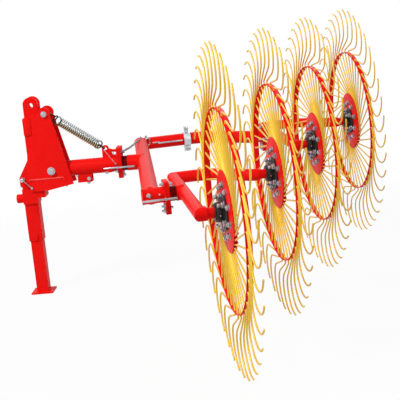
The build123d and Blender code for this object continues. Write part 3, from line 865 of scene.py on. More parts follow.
@dataclass
class Wheel:
    """One tined wheel: rim band, 40 sprung tines, disc pair, bolts and hub."""

    rake: RakeFrame
    tine_count: int = 40
    rim_radius: float = 0.44
    rim_width: float = 0.028
    rim_wall: float = 0.004
    wire: float = 0.0042
    lean: float = math.radians(18)
    splay: float = 0.018
    root_run: float = 0.3286
    hook_turn: float = math.radians(90)
    hook_bend: float = 0.012
    hook_run: float = 0.1482
    j_turn: float = math.radians(52)
    j_bend: float = 0.08
    sweep_turn: float = math.radians(86)
    sweep_bend: float = 0.1215
    disc_radius: float = 0.178
    disc_wall: float = 0.004
    disc_gap: float = 0.0076
    spacer_radius: float = 0.14
    clip_radius: float = 0.0052
    clip_height: float = 0.006
    clip_inset: float = 0.008
    hub_steps: ClassVar = (
        (0.08, 0.010, 0.002),
        (0.052, 0.005, 0.002),
        (0.043, 0.026, 0.003),
        (0.0385, 0.006, 0.002),
    )
    cap_steps: ClassVar = ((0.045, 0.006, 0.0015), (0.038, 0.020, 0.006))
    nipple_turn: float = -0.27
    nipple_rise: float = 0.028
    nipple_start: float = 0.042
    nipple_size: tuple[float, float] = (0.0032, 0.010)
    fasteners_table: ClassVar = (
        # count, phase, circle, rise, thread, stem
        (10, 0.0, 0.115, 0.0, 0.0078, 0.004),
        (5, 0.25, 0.066, 0.010, 0.0082, 0.018),
    )
    far_stem: float = 0.003

    def place(self, centre: Vector) -> Matrix:
        """Return the wheel's place: Z along the axle towards the frame, X up, Y to match."""
        return facing(centre, -self.rake.along, UP)

    def build(self, number: int) -> None:
        """Make one wheel.

        Args:
            number: The wheel's number, from the front.
        """
        body = f"wheel_{number}"
        place = self.place(self.rake.centre(f"wheel_{number}_spin"))
        rim = Blank()
        inner = self.rim_radius - self.rim_wall / 2
        rim.band(place, inner, self.rim_wall, self.rim_width, 120, 0.0012)
        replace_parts(rim.piece(f"{body}_rim_band", Finish.RED, body), f"{body}_rim")
        self.tines(place).piece(f"{body}_tines", Finish.YELLOW, body, 70)
        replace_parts(self.discs(place).piece(f"{body}_disc_pair", Finish.RED, body), f"{body}_disc")
        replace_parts(self.hub(place).piece(f"{body}_hub_casting", Finish.BLACK, body), f"{body}_hub")
        self.fasteners(place).piece(f"{body}_bolts", Finish.ZINC, body, 35)

    def tines(self, place: Matrix) -> Blank:
        """Return all the tines, bent from one wire and copied round the wheel."""
        blank = Blank()
        flat = place.to_3x3()
        axis = flat @ UP
        heading = flat @ Vector((math.cos(self.lean), math.sin(self.lean), self.splay))
        start = place @ Vector((self.rim_radius, 0, 0)) - heading * self.root_run
        start -= axis * (start - place.translation).dot(axis)
        cut = self.hook_bend * math.tan(self.hook_turn / 2)
        wire = Bender(blank, start, heading, self.wire, 8)
        wire.push(self.root_run * 0.5).push(self.root_run * 0.5 + self.rim_wall)
        wire.bend(axis, -self.hook_turn, self.hook_bend, 6)
        wire.push(self.hook_run - cut)
        wire.bend(axis, self.j_turn, self.j_bend, 8)
        wire.bend(axis, self.sweep_turn, self.sweep_bend, 11)
        wire.close()
        log.info("tine tip at %.4f", (wire.tip - place.translation).length)
        geometry = [*blank.bm.verts, *blank.bm.edges, *blank.bm.faces]
        for turn in range(1, self.tine_count):
            copied = bmesh.ops.duplicate(blank.bm, geom=geometry)["geom"]
            bmesh.ops.rotate(
                blank.bm,
                cent=place.translation,
                matrix=Matrix.Rotation(ROUND * turn / self.tine_count, 3, axis),
                verts=[item for item in copied if isinstance(item, bmesh.types.BMVert)],
            )
        return blank

    def discs(self, place: Matrix) -> Blank:
        """Return the two discs that hold the tines' roots, the ring between them and the root clips."""
        blank = Blank()
        for start in (self.disc_gap / 2, -self.disc_gap / 2 - self.disc_wall):
            blank.disc(raised(place, start), self.disc_radius, self.disc_wall, 72, 0.0012)
        blank.disc(raised(place, -self.disc_gap / 2), self.spacer_radius, self.disc_gap, 48)
        for turn in range(self.tine_count):
            spun = place @ Matrix.Rotation(ROUND * (turn + 0.5) / self.tine_count, 4, "Z")
            outward = self.disc_radius - self.clip_inset
            clip = spun @ Matrix.Translation((outward, 0, -self.disc_gap / 2 - self.disc_wall))
            blank.disc(flipped(clip), self.clip_radius, self.clip_height, 8, FINE_EDGE)
        return blank

    def hub(self, place: Matrix) -> Blank:
        """Return the hub: flange, stepped barrel, seal lip and end cap."""
        blank = Blank()
        face = self.disc_gap / 2 + self.disc_wall
        blank.stack(raised(place, face), self.hub_steps)
        blank.stack(flipped(raised(place, -face)), self.cap_steps)
        return blank

    def fasteners(self, place: Matrix) -> Blank:
        """Return the ring of disc bolts, the hub's studs with their nuts and the grease nipple."""
        blank = Blank()
        face = self.disc_gap / 2 + self.disc_wall
        for count, phase, circle, rise, thread, stem in self.fasteners_table:
            for step in range(count):
                spun = place @ Matrix.Rotation(ROUND * (step + phase) / count, 4, "Z")
                spot = spun @ Matrix.Translation((circle, 0, 0))
                Bolt(thread).head(blank, raised(spot, face + rise), stem)
                Bolt(thread).head(blank, flipped(raised(spot, -face)), self.far_stem)
        nipple = place @ Matrix.Rotation(ROUND * self.nipple_turn, 4, "Z")
        nipple = nipple @ Matrix.Translation((self.nipple_start, 0, face + self.nipple_rise))
        blank.disc(nipple @ Matrix.Rotation(ROUND / 4, 4, "Y"), *self.nipple_size, 10, FINE_EDGE * 0.8)
        return blank


@dataclass
class Tubes:
    """The bent and mitred tubes of the main frame and of the rockers."""

    rake: RakeFrame
    main_radius: float = 0.042
    frame_radius: float = 0.038
    rocker_radius: float = 0.0302
    spindle_radius: float = 0.024
    tube_end_gap: float = 0.086
    spindle_nose: float = 0.012
    bead: float = 0.0032
    front: tuple[float, float] = (-0.257, 0.57)
    elbow: tuple[float, float] = (-0.105, 2.41)
    back_corners: tuple[float, float] = (0.39, 0.665)
    back_bends: tuple[float, float] = (0.15, 0.06)
    sleeve_start: float = 0.115
    cap_step: float = 0.0016
    cap_wall: float = 0.007
    neck_weld: tuple[float, float] = (0.014, 0.004)
    flange_wall: float = 0.012
    flange_size: tuple[float, float, float] = (0.066, 0.092, 0.052)
    rocker_corner: float = -0.113
    rocker_elbow: tuple[float, float] = (-0.092, 0.985)
    second_wheel_back: float = 0.785
    rocker_pivot_back: float = 0.57
    arm_corners: tuple[float, float] = (0.307, 0.117)
    arm_bends: tuple[float, float] = (0.2, 0.07)
    collar_end: float = 0.046
    collar_step: float = 0.002

    def straight(self, start: Vector, end: Vector, radius: float) -> Blank:
        """Return a straight closed tube between two points."""
        blank = Blank()
        blank.bar(start, end, radius)
        return blank

    def saddle_bead(self, blank: Blank, centre: Vector, axis: Vector, radius: float, carrier: tuple) -> None:
        """Add the weld where a tube lands on another one.

        Args:
            blank: The mesh.
            centre: A point on the landing tube's axis, outside the carrier.
            axis: The landing tube's direction, towards the carrier.
            radius: The landing tube's radius.
            carrier: A point on the carrier's axis, its direction and its radius.
        """
        at, way, size = carrier
        ring = blank.ring(facing(centre, axis), radius + self.bead * 0.3, self.bead, 8, 40)
        axis = axis.normalized()
        way = way.normalized()
        flat_axis = axis - way * axis.dot(way)
        for vert in ring:
            run = vert.co - axis * (vert.co - centre).dot(axis) - at
            flat_run = run - way * run.dot(way)
            half = flat_run.dot(flat_axis)
            whole = flat_axis.dot(flat_axis)
            root = half * half - whole * (flat_run.dot(flat_run) - size * size)
            step = (-half - math.sqrt(max(root, 0.0))) / whole
            vert.co += axis * step

    def build(self) -> None:
        """Make every tube of the frame and the rockers."""
        self.main_frame()
        self.rocker("front_rocker", 1)
        self.rocker("rear_rocker", 3)

    def main_frame(self) -> None:
        """Make the cross tube, the front sleeve and the bent back tube with their flanges."""
        rake = self.rake
        pivot_along, pivot_back = rake.measure(rake.centre("front_rocker_roll"))
        rear_along, rear_back = rake.measure(rake.centre("rear_rocker_roll"))
        front, elbow = rake.point(*self.front), rake.point(*self.elbow)
        run = (elbow - front).normalized()
        way = rake.along
        mitre = (run + way).normalized()

        blank = Blank()
        length = (elbow - front).length + 2 * self.main_radius
        Bender(blank, front, run, self.main_radius).push(length).close()
        trim(blank, blank.bm.verts, elbow, mitre)
        self.mitre_bead(blank, elbow, mitre, run, self.main_radius)
        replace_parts(blank.piece("main_cross_tube_mitred", Finish.RED, "frame"), "main_cross_tube")

        blank = Blank()
        lead = 2 * self.frame_radius
        end = rake.point(rear_along - self.flange_wall, rear_back)
        first, second = (self.elbow[0] + corner for corner in self.back_corners)
        corners = [rake.point(first, self.elbow[1]), rake.point(second, rear_back), end]
        Bender(blank, elbow - way * lead, way, self.frame_radius).follow(corners, self.back_bends).close()
        trim(blank, blank.bm.verts, elbow, -mitre)
        self.flange(blank, end)
        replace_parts(blank.piece("back_tube_bent", Finish.RED, "frame"), "back_tube")

        blank = Blank()
        start = rake.point(pivot_along - self.sleeve_start, pivot_back)
        Bender(blank, start, way, self.frame_radius).push(self.sleeve_start - self.flange_wall).close()
        cap = self.frame_radius + self.cap_step
        blank.disc(facing(start - way * HAIR, way), cap, self.cap_wall, 48, EDGE)
        self.flange(blank, rake.point(pivot_along - self.flange_wall, pivot_back))
        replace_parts(blank.piece("front_sleeve_tube", Finish.RED, "frame"), "front_sleeve")

    def mitre_bead(self, blank: Blank, corner: Vector, normal: Vector, run: Vector, radius: float) -> None:
        """Add the weld round a mitred corner."""
        for vert in blank.ring(facing(corner, run), radius, self.bead * 0.8, 6, 44):
            vert.co -= run * ((vert.co - corner).dot(normal) / run.dot(normal))

    def flange(self, blank: Blank, at: Vector) -> None:
        """Add a joint's flange plate, which hangs lower than it rises."""
        blank.flange(facing(at, self.rake.along), self.flange_size, self.flange_wall)

    def rocker(self, name: str, wheel: int) -> None:
        """Make one rocker's cross tube, stub axle, bent arm and neck.

        Args:
            name: The rocker's body.
            wheel: The number of its front wheel.
        """
        rake = self.rake
        along, back = rake.measure(rake.centre(f"wheel_{wheel}_spin"))
        pair = rake.measure(rake.centre(f"wheel_{wheel + 1}_spin"))[0] - along

        def at(dx: float, dy: float) -> Vector:
            """Return a point measured from the rocker's front wheel."""
            return rake.point(along + dx, back + dy)

        lead = self.rocker_radius * 2
        corner, elbow = at(self.rocker_corner, 0), at(*self.rocker_elbow)
        run = (elbow - corner).normalized()
        low = (run - rake.along).normalized()
        high = (run + rake.along).normalized()

        blank = Blank()
        length = (elbow - corner).length + 2 * lead
        Bender(blank, corner - run * lead, run, self.rocker_radius).push(length).close()
        trim(blank, blank.bm.verts, corner, -low)
        trim(blank, blank.bm.verts, elbow, high)
        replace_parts(blank.piece(f"{name}_cross_tube_cut", Finish.RED, name), f"{name}_cross_tube")

        blank = Blank()
        stub_end = at(-self.tube_end_gap, 0)
        stub = Bender(blank, corner - rake.along * lead, rake.along, self.rocker_radius)
        stub.push((stub_end - corner).length + lead).close()
        trim(blank, blank.bm.verts, corner, low)
        self.spindle(blank, stub_end)
        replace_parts(blank.piece(f"{name}_stub_axle", Finish.RED, name), f"{name}_stub")

        blank = Blank()
        first, second = (pair - corner for corner in self.arm_corners)
        end = at(pair - self.tube_end_gap, self.second_wheel_back)
        corners = [at(first, self.rocker_elbow[1]), at(second, self.second_wheel_back), end]
        arm = Bender(blank, elbow - rake.along * lead, rake.along, self.rocker_radius)
        arm.follow(corners, self.arm_bends).close()
        trim(blank, blank.bm.verts, elbow, -high)
        self.spindle(blank, end)
        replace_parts(blank.piece(f"{name}_bent_arm", Finish.RED, name), f"{name}_arm")

        pivot = rake.centre(f"{name}_roll")
        face = pivot + rake.along * HAIR
        blank = Blank()
        self.flange(blank, face)
        slant = (self.rocker_elbow[0] - self.rocker_corner) / self.rocker_elbow[1]
        neck_end = at(self.rocker_corner + slant * self.rocker_pivot_back, self.rocker_pivot_back)
        whole = self.straight(face + rake.along * self.collar_end, neck_end, self.frame_radius)
        whole.piece(f"{name}_neck_tube", Finish.RED, name)
        carrier = (corner, run, self.rocker_radius)
        lead, step = self.neck_weld
        self.saddle_bead(blank, face + rake.along * lead, rake.along, self.frame_radius - step, carrier)
        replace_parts(blank.piece(f"{name}_flange", Finish.RED, name), f"{name}_neck")
        # painted shade: a slightly thinner dark ring behind the flange stands for the shaded gap at the joint
        start, stop = (face + rake.along * run for run in (self.flange_wall, self.collar_end))
        collar = self.straight(start, stop, self.frame_radius - self.collar_step)
        collar.piece(f"{name}_neck_shade_collar", Finish.DEEP_RED, name)

    def spindle(self, blank: Blank, start: Vector) -> None:
        """Add a wheel's spindle from the tube's end into the hub."""
        length = self.tube_end_gap + self.spindle_nose
        Bender(blank, start, self.rake.along, self.spindle_radius).push(length).close()


@dataclass
class BeamGroup:
    """The beam, its turning joint and the neck that the main frame starts with."""

    rake: RakeFrame
    radius: float = 0.0445
    bush_radius: float = 0.020
    bush_half: float = 0.0497
    flange_wall: float = 0.012
    flange_size: tuple[float, float, float] = (0.099, 0.079, 0.052)
    collar_end: float = 0.042
    collar_step: float = 0.0025
    weld: float = 0.0035
    saddle_start: float = 0.03

    def build(self) -> None:
        """Make the beam tube, the flanges of its joint and the neck."""
        lift = self.rake.centre("beam_lift")
        roll = self.rake.centre("frame_roll")
        way = AHEAD
        wall, radius = self.flange_wall, self.radius
        tubes = Tubes(self.rake)
        blank = Blank()
        Bender(blank, lift - way * radius, way, radius).push(roll.x - wall - lift.x + radius).close()
        blank.disc(facing(lift + ACROSS * self.bush_half, -ACROSS), self.bush_radius, 2 * self.bush_half, 32)
        blank.ring(facing(roll - way * (wall + HAIR), way), radius + FINE_EDGE, self.weld, 8, 48)
        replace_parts(blank.piece("beam_tube_round", Finish.RED, "beam"), "beam_tube")

        blank = Blank()
        blank.flange(facing(roll - way * wall, way), self.flange_size, wall)
        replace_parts(blank.piece("beam_flange_plate", Finish.RED, "beam"), "beam_flange")

        blank = Blank()
        start = roll + way * HAIR
        blank.flange(facing(start, way), self.flange_size, wall)
        front, elbow = self.rake.point(*tubes.front), self.rake.point(*tubes.elbow)
        run = (elbow - front).normalized()
        reach = (front - start).cross(run).z / way.cross(run).z
        Bender(blank, start + way * self.collar_end, way, radius).push(reach - self.collar_end).close()
        tubes.saddle_bead(
            blank, start + way * self.saddle_start, way, radius, (front, run, tubes.main_radius)
        )
        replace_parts(blank.piece("frame_neck_tube", Finish.RED, "frame"), "frame_neck")
        # painted shade: a slightly thinner dark ring behind the flange stands for the shaded gap at the joint
        collar = tubes.straight(start + way * wall, start + way * self.collar_end, radius - self.collar_step)
        collar.piece("frame_neck_shade_collar", Finish.DEEP_RED, "frame")


@dataclass
class Headstock:
    """The headstock: plates, ears, post, lugs, pins and bolts."""

    rake: RakeFrame
    plate_face: float = 0.058
    lip_height: float = -0.42
    strip_edge: float = -0.009
    strip_lean: float = 0.12
    lip_lean: float = 0.07
    ear_edge: float = 0.0035
    pad_edge: float = 0.0055
    pad_centre: tuple[float, float] = (-0.0285, -0.1165)
    pad_size: tuple[float, float, float] = (0.1, 0.046, 0.0125)
    pad_sink: float = 0.001
    weld_start: float = -0.05
    weld_pitch: float = 0.0062
    weld_count: int = 32
    weld_radius: float = 0.0046
    weld_wander: float = 0.0012
    weld_beat: float = 2.4
    weld_sink: float = 0.0004
    pivot_thread: float = 0.0112
    anchor_thread: float = 0.0082
    bolt_stems: tuple[float, float] = (0.002, 0.004)
    bolt_gap: float = 0.0003
    bolt_shank: float = 0.0098
    low_bolt: ClassVar[Vector] = Vector((0.155, -0.046, -0.44))
    low_bolt_thread: float = 0.0055
    low_bolt_run: tuple[float, float, float] = (0.03, 0.022, 0.006)
    keeper_ends: ClassVar[tuple[Vector, Vector]] = (
        Vector((-0.089, -0.0845, -0.41)),
        Vector((-0.044, -0.0655, -0.466)),
    )
    keeper_wire: float = 0.0016
    keeper_loop: float = 0.006
    keeper_pin: tuple[float, float, float] = (0.007, 0.0072, 0.008)

    def build(self) -> None:
        """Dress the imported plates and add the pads, welds, pins and bolts."""
        for node, side in (("side_plate_near", 1), ("side_plate_far", -1)):
            inward = Vector((0, side, 0))
            strip = Crease(AHEAD * self.strip_edge, -AHEAD, inward * self.strip_lean)
            lip = Crease(UP * self.lip_height, -UP, -inward * self.lip_lean)
            CadCopy(node, Finish.RED, creases=(strip, lip)).build("headstock")
        CadCopy("top_link_ears", Finish.RED, self.ear_edge).build("headstock")
        for node in ("mast_post", "post_collar", "hitch_lugs", "hitch_bush", "plate_spacer"):
            CadCopy(node, Finish.RED).build("headstock")
        CadCopy("hitch_pin", Finish.ZINC, FINE_EDGE).build("headstock")
        CadCopy("parking_leg", Finish.RED).build("stand")
        CadCopy("spring_lug", Finish.RED).build("beam")
        CadCopy("stop_bracket", Finish.RED).build("beam")
        self.pads()
        self.bolts()
        self.keeper()

    def pads(self) -> None:
        """Add the pads on the block's two ends and the weld along each plate's bent lip."""
        blank, weld = Blank(), Blank()
        for side in (-1, 1):
            face = Vector((0, side, 0))
            across, height = self.pad_centre
            at = Vector((across, side * (self.plate_face - self.pad_sink), height))
            blank.block(facing(at, face), self.pad_size, self.pad_edge)
            for step in range(self.weld_count):
                run = self.weld_start + step * self.weld_pitch
                rise = self.lip_height + self.weld_wander * math.sin(step * self.weld_beat)
                weld.ball(Vector((run, side * (self.plate_face - self.weld_sink), rise)), self.weld_radius)
        blank.piece("headstock_pads", Finish.RED, "headstock")
        # the beads' lighter red is partly a painted highlight
        weld.piece("headstock_welds", Finish.WELD, "headstock")

    def bolts(self) -> None:
        """Make the pivot bolt and the spring's anchor bolt."""
        blank = Blank()
        face = self.plate_face + self.bolt_gap
        pivot, anchor = self.rake.centre("beam_lift"), Vector(SPRING_TOP)
        for middle, thread in ((pivot, self.pivot_thread), (anchor, self.anchor_thread)):
            near, far = (Vector((middle.x, side, middle.z)) for side in (-face, face))
            Bolt(thread).head(blank, facing(near, -ACROSS), self.bolt_stems[0])
            Bolt(thread).head(blank, facing(far, ACROSS), self.bolt_stems[1])
            blank.disc(facing(far, -ACROSS), self.bolt_shank, 2 * face, 24)
        shank, nut, stem = self.low_bolt_run
        blank.disc(facing(self.low_bolt, -UP), self.low_bolt_thread, shank, 14, FINE_EDGE)
        Bolt(self.low_bolt_thread).head(blank, facing(self.low_bolt - UP * nut, -UP), stem)
        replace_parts(blank.piece("headstock_bolt_set", Finish.ZINC, "headstock", 35), "headstock_bolts")

    def keeper(self) -> None:
        """Add the keeper wire between the hitch pin's end and a small pin in the plate's lip."""
        blank = Blank()
        start, end = self.keeper_ends
        wire, (depth, radius, height) = self.keeper_wire, self.keeper_pin
        blank.bar(start, end, wire, 8)
        blank.disc(facing(end + ACROSS * depth, -ACROSS), radius, height, 20, wire)
        blank.ring(facing(start, -ACROSS), self.keeper_loop, wire, 6, 20)
        blank.piece("hitch_pin_keeper", Finish.ZINC, "headstock")


@dataclass
class LiftSpring:
    """The tension spring between the anchor bolt and the beam's lug."""

    coil_radius: float = COIL_RADIUS
    wire: float = 0.0041
    turns: int = 21
    coil_start: float = 0.09
    coil_end: float = 0.352
    hook_bends: tuple[float, float] = (0.0132, 0.012)
    hook_gap: float = 0.028
    hook_slack_share: float = 0.35
    eye_gaps: tuple[float, float] = (0.012, 0.004)
    eye_leans: tuple[float, float, float] = (0.35, 0.8, 1.3)
    eye_wire_share: float = 0.95

    def build(self) -> None:
        """Wind the spring and hook both its ends."""
        top, low = Vector(SPRING_TOP), Vector(SPRING_LOW)
        way = (low - top).normalized()
        start, end = top + way * self.coil_start, top + way * self.coil_end
        wide, close = self.eye_gaps
        open_lean, shut_lean, low_lean = self.eye_leans
        blank = Blank()
        self.coil(blank, facing(start, way, ACROSS), self.coil_end - self.coil_start)
        self.hook(blank, start - way * self.hook_gap, top, way, self.hook_bends[0], way.cross(ACROSS))
        self.hook(blank, end, low - way * self.hook_bends[1], -way, self.hook_bends[1], ACROSS)
        self.eye(blank, start - way * wide, ACROSS + way * open_lean)
        self.eye(blank, start - way * close, ACROSS + way * shut_lean)
        self.eye(blank, end - way * close, ACROSS * low_lean - way)
        made = blank.piece("lift_spring_coil", Finish.SPRING, "", 70)
        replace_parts(made, "lift_spring")
        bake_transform(made)

    def coil(self, blank: Blank, place: Matrix, length: float) -> None:
        """Wind the open coil by screwing the wire's section along the axis."""
        axis = place.to_3x3() @ UP
        section = place @ Matrix.Translation((self.coil_radius, 0, 0)) @ Matrix.Rotation(ROUND / 4, 4, "X")
        made = bmesh.ops.create_circle(blank.bm, cap_ends=False, segments=8, radius=self.wire, matrix=section)
        edges = list({edge for vert in made["verts"] for edge in vert.link_edges})
        steps = self.turns * 20
        turned = bmesh.ops.spin(
            blank.bm,
            geom=edges,
            cent=place.translation,
            axis=axis,
            dvec=axis * (length / steps),
            angle=ROUND * self.turns,
            steps=steps,
            use_merge=False,
        )
        last = [item for item in turned["geom_last"] if isinstance(item, bmesh.types.BMEdge)]
        for loop in (edges, last):
            bmesh.ops.holes_fill(blank.bm, edges=loop, sides=0)

    def eye(self, blank: Blank, at: Vector, leaning: Vector) -> None:
        """Add a last turn of one end, which leans out of the coil."""
        blank.ring(facing(at, leaning), self.coil_radius, self.wire * self.eye_wire_share, 8, 32)

    def hook(self, blank: Blank, at: Vector, pin: Vector, inward: Vector, bend: float, side: Vector) -> None:
        """Add one end loop, from the coil's end round the pin and back.

        Args:
            blank: The mesh.
            at: The coil's end on its axis.
            pin: The middle of the pin that the loop goes round.
            inward: The direction from the pin into the coil.
            bend: The radius of the loop's bend.
            side: The direction across the loop.
        """
        side = side.normalized()
        reach = (pin - at).length - bend * self.hook_slack_share
        wire = Bender(blank, at + side * bend, -inward, self.wire, 8)
        wire.push(reach)
        wire.bend(inward.cross(side), ROUND / 2, bend, 18)
        wire.push(reach).close()


@dataclass
class Trim:
    """Small fittings at the joints: lock rods, bolts, clamp, chain and its shackle."""

    rake: RakeFrame
    rod_radius: float = 0.005
    rod_out: float = 0.068
    rod_drop: float = -0.012
    rod_lead: float = 0.010
    rod_edge: float = 0.0015
    keeper_ring: tuple[float, float, float] = (0.013, 1.7, 0.004)
    block_lead: float = 0.014
    block_seat_share: float = 0.9
    rod_grip_share: float = 0.2
    lock_rods: ClassVar = (
        # node, body, joint, carrying tube's radius, lead, reach
        ("beam_lock_rod", "beam", "frame_roll", 0.0445, 0.080, 0.086),
        ("front_lock_rod", "frame", "front_rocker_roll", 0.038, 0.110, 0.044),
        ("rear_lock_rod", "frame", "rear_rocker_roll", 0.038, 0.050, 0.044),
    )
    flange_depths: tuple[float, float] = (0.0125, 0.0128)
    flange_bolts: ClassVar = (
        # what they hold, body, joint, side, spots above and across, stem
        ("beam", "beam", "frame_roll", -1, ((0.064, -0.036), (-0.036, -0.046)), 0.012),
        ("frame", "frame", "frame_roll", 1, ((0.064, 0.0), (-0.062, -0.03)), 0.008),
        *(
            row
            for name in ("front_rocker", "rear_rocker")
            for row in (
                (name, "frame", f"{name}_roll", -1, ((0.054, -0.03), (-0.05, -0.036), (-0.074, -0.03)), 0.01),
                (name, name, f"{name}_roll", 1, ((0.052, -0.03), (-0.07, 0.02)), 0.008),
            )
        ),
    )
    beam_block: tuple[float, float, float] = (0.022, 0.04, 0.014)
    frame_block: tuple[float, float, float] = (0.009, 0.02, 0.0)
    clamp_along: float = 0.19
    clamp_band: tuple[float, float, float] = (0.0383, 0.008, 0.042)
    ears: ClassVar = (
        # rise, width, height
        (0.0625, 0.026, 0.040),
        (-0.0595, 0.042, 0.034),
    )
    ear_gap: float = 0.0075
    ear_wall: float = 0.007
    ear_bolts: tuple[float, float] = (0.068, -0.062)
    ear_bolt_half: float = 0.011
    ear_bolt_radius: float = 0.006
    ear_bolt_gap: float = 0.0002
    ear_bolt_stem: float = 0.005
    joint_thread: float = 0.0058
    fitting_thread: float = 0.0062
    chain_count: int = 34
    chain_sag: float = 0.02
    chain_link: tuple[float, float, float] = (0.012, 0.0052, 0.0023)
    chain_inset: float = 0.02
    sleeve_lift: float = 0.008
    sleeve_bolt: tuple[float, float] = (0.087, 0.036)
    sleeve_bolt_steps: ClassVar = (
        # start, radius, height, sides, edge
        (0.0, 0.0115, 0.006, 24, EDGE),
        (0.006, 0.0072, 0.007, 6, FINE_EDGE),
    )
    sleeve_ball: tuple[float, float, float] = (0.035, 0.040, 0.0055)
    arm_rod_back: float = 0.0433
    arm_bar: tuple[float, float, float] = (0.005, 0.158, 0.0015)
    arm_pin_at: tuple[float, float] = (-0.034, 0.006)
    arm_pin: tuple[float, float] = (0.0042, 0.04)
    arm_ball_at: tuple[float, float, float] = (0.004, -0.004, 0.002)
    arm_ball: float = 0.0075
    shackle_at: tuple[float, float, float] = (-0.066, 0.004, 0.018)
    shackle_link: tuple[float, float, float] = (0.02, 0.012, 0.0042)
    shackle_pin_at: tuple[float, float] = (0.022, 0.01)
    shackle_pin: tuple[float, float] = (0.0055, 0.03)
    shackle_bolt_at: tuple[float, float, float] = (-0.072, 0.022, 0.0375)
    shackle_bolt: tuple[float, float] = (0.006, 0.008)
    beam_wire_ends: ClassVar = (Vector((0.384, -0.0085, -0.291)), Vector((0.449, -0.0515, -0.371)))
    beam_wire: tuple[float, float] = (0.0014, 0.0052)
    beam_pin_at: ClassVar = Vector((0.434, -0.012, -0.31))
    beam_pin: tuple[float, float] = (0.0045, 0.0245)
    beam_balls: ClassVar = (
        # centre, radius
        ((0.433, -0.012, -0.31), 0.0068),
        ((0.218, -0.022, -0.4235), 0.0075),
    )
    beam_bolts: ClassVar = (
        # centre, outward, thread, stem
        ((0.395, -0.062, -0.4075), -UP, fitting_thread, 0.004),
        ((0.276, 0.0, -0.465), -UP, fitting_thread, 0.004),
        ((0.283, -0.0252, -0.445), -ACROSS, 0.0052, 0.003),
    )
    chain_low: ClassVar[Vector] = Vector((0.488, -0.014, -0.309))
    chain_high: tuple[float, float] = (-0.105, 0.046)

    def build(self) -> None:
        """Add the fittings of each turning joint and of the back tube."""
        for rod in self.lock_rods:
            self.lock_rod(*rod)
        for owner, body, joint, side, spots, stem in self.flange_bolts:
            pivot, way = self.axis(joint)
            depth = self.flange_depths[0] if side < 0 else self.flange_depths[1]
            self.joint_bolts((owner, body), pivot, way * side, depth, spots, stem)
        front = self.rake.centre("front_rocker_roll")
        self.sleeve_bolts(front)
        self.clamp()
        self.arm_rod()
        self.beam_fittings()
        self.chain()

    def axis(self, joint: str) -> tuple[Vector, Vector]:
        """Return a joint's centre and the direction of its axis."""
        return self.rake.centre(joint), Vector(self.rake.joint(joint)["axis"]).normalized()

    def lock_rod(self, node: str, body: str, joint: str, carrier: float, lead: float, reach: float) -> None:
        """Make one lock rod, the red block that holds it and its keeper ring at the flange.

        Args:
            node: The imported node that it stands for.
            body: The body that it moves with.
            joint: The joint that it locks.
            carrier: The radius of the tube that carries the block.
            lead: How far the rod starts before the joint.
            reach: How far it goes past it.
        """
        pivot, way = self.axis(joint)
        side = way.cross(UP)
        line = pivot + side * self.rod_out + UP * self.rod_drop
        rod = Blank()
        length = lead + self.rod_lead + reach
        before, swell, width = self.keeper_ring
        rod.disc(facing(line - way * (lead + self.rod_lead), way), self.rod_radius, length, 20, self.rod_edge)
        rod.disc(facing(line - way * before, way), self.rod_radius * swell, width, 20, FINE_EDGE * 0.8)
        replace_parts(rod.piece(f"{node}_bar", Finish.ZINC, body), node)
        block = Blank()
        inner = carrier * self.block_seat_share
        depth = self.rod_out - inner - self.rod_radius * self.rod_grip_share
        middle = line - way * (lead - self.block_lead) - side * (self.rod_out - inner - depth / 2)
        height, width, drop = self.beam_block if body == "beam" else self.frame_block
        block.block(facing(middle - UP * drop, side), (height, width, depth), EDGE)
        block.piece(f"{node}_block", Finish.RED, body)

    def joint_bolts(
        self,
        names: tuple[str, str],
        pivot: Vector,
        outward: Vector,
        depth: float,
        spots: Sequence[tuple[float, float]],
        stem: float,
    ) -> None:
        """Add a flange's bolts on its outer face.

        Args:
            names: What the bolts hold, and the body that they move with.
            pivot: The joint's centre.
            outward: The way out of the flange's outer face.
            depth: How far that face is from the joint.
            spots: Where the bolts are, above the axis and across it.
            stem: How far the thread stands out.
        """
        owner, body = names
        blank = Blank()
        sideways = UP.cross(outward)
        if sideways.y < 0:
            sideways = -sideways
        for rise, across in spots:
            at = pivot + outward * depth + UP * rise + sideways * across
            Bolt(self.joint_thread).head(blank, facing(at, outward), stem)
        blank.piece(f"{owner}_{body}_joint_bolts", Finish.ZINC, body, 35)

    def sleeve_bolts(self, pivot: Vector) -> None:
        """Add the bolt and the pin on the near side of the front sleeve."""
        rake = self.rake
        toward = -rake.back
        blank = Blank()
        middle = pivot + UP * self.sleeve_lift
        run, out = self.sleeve_bolt
        spot = middle - rake.along * run + toward * out
        for start, radius, height, sides, edge in self.sleeve_bolt_steps:
            blank.disc(facing(spot + toward * start, toward), radius, height, sides, edge)
        run, out, radius = self.sleeve_ball
        blank.ball(middle - rake.along * run + toward * out, radius)
        blank.piece("front_sleeve_pins", Finish.ZINC, "frame")

    def clamp(self) -> None:
        """Make the galvanised clamp, its two ears and their bolts."""
        rake = self.rake
        middle = rake.point(self.clamp_along, Tubes.elbow[1])
        toward = -rake.back
        inner, wall, wide = self.clamp_band
        blank = Blank()
        blank.band(facing(middle, rake.along), inner, wall, wide, 64, 0.0012)
        for rise, width, height in self.ears:
            for gap in (-self.ear_gap, self.ear_gap):
                place = facing(middle + UP * rise + toward * gap, toward)
                blank.block(place, (height, width, self.ear_wall), EDGE)
        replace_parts(blank.piece("tube_clamp_band", Finish.GALVANISED, "frame"), "tube_clamp")
        bolts, half = Blank(), self.ear_bolt_half
        for rise in self.ear_bolts:
            for way in (toward, -toward):
                at = middle + UP * rise + way * (half + self.ear_bolt_gap)
                Bolt(self.fitting_thread).head(bolts, facing(at, way), self.ear_bolt_stem)
            bolts.disc(facing(middle + UP * rise - toward * half, toward), self.ear_bolt_radius, 2 * half, 14)
        bolts.piece("tube_clamp_bolts", Finish.ZINC, "frame", 35)

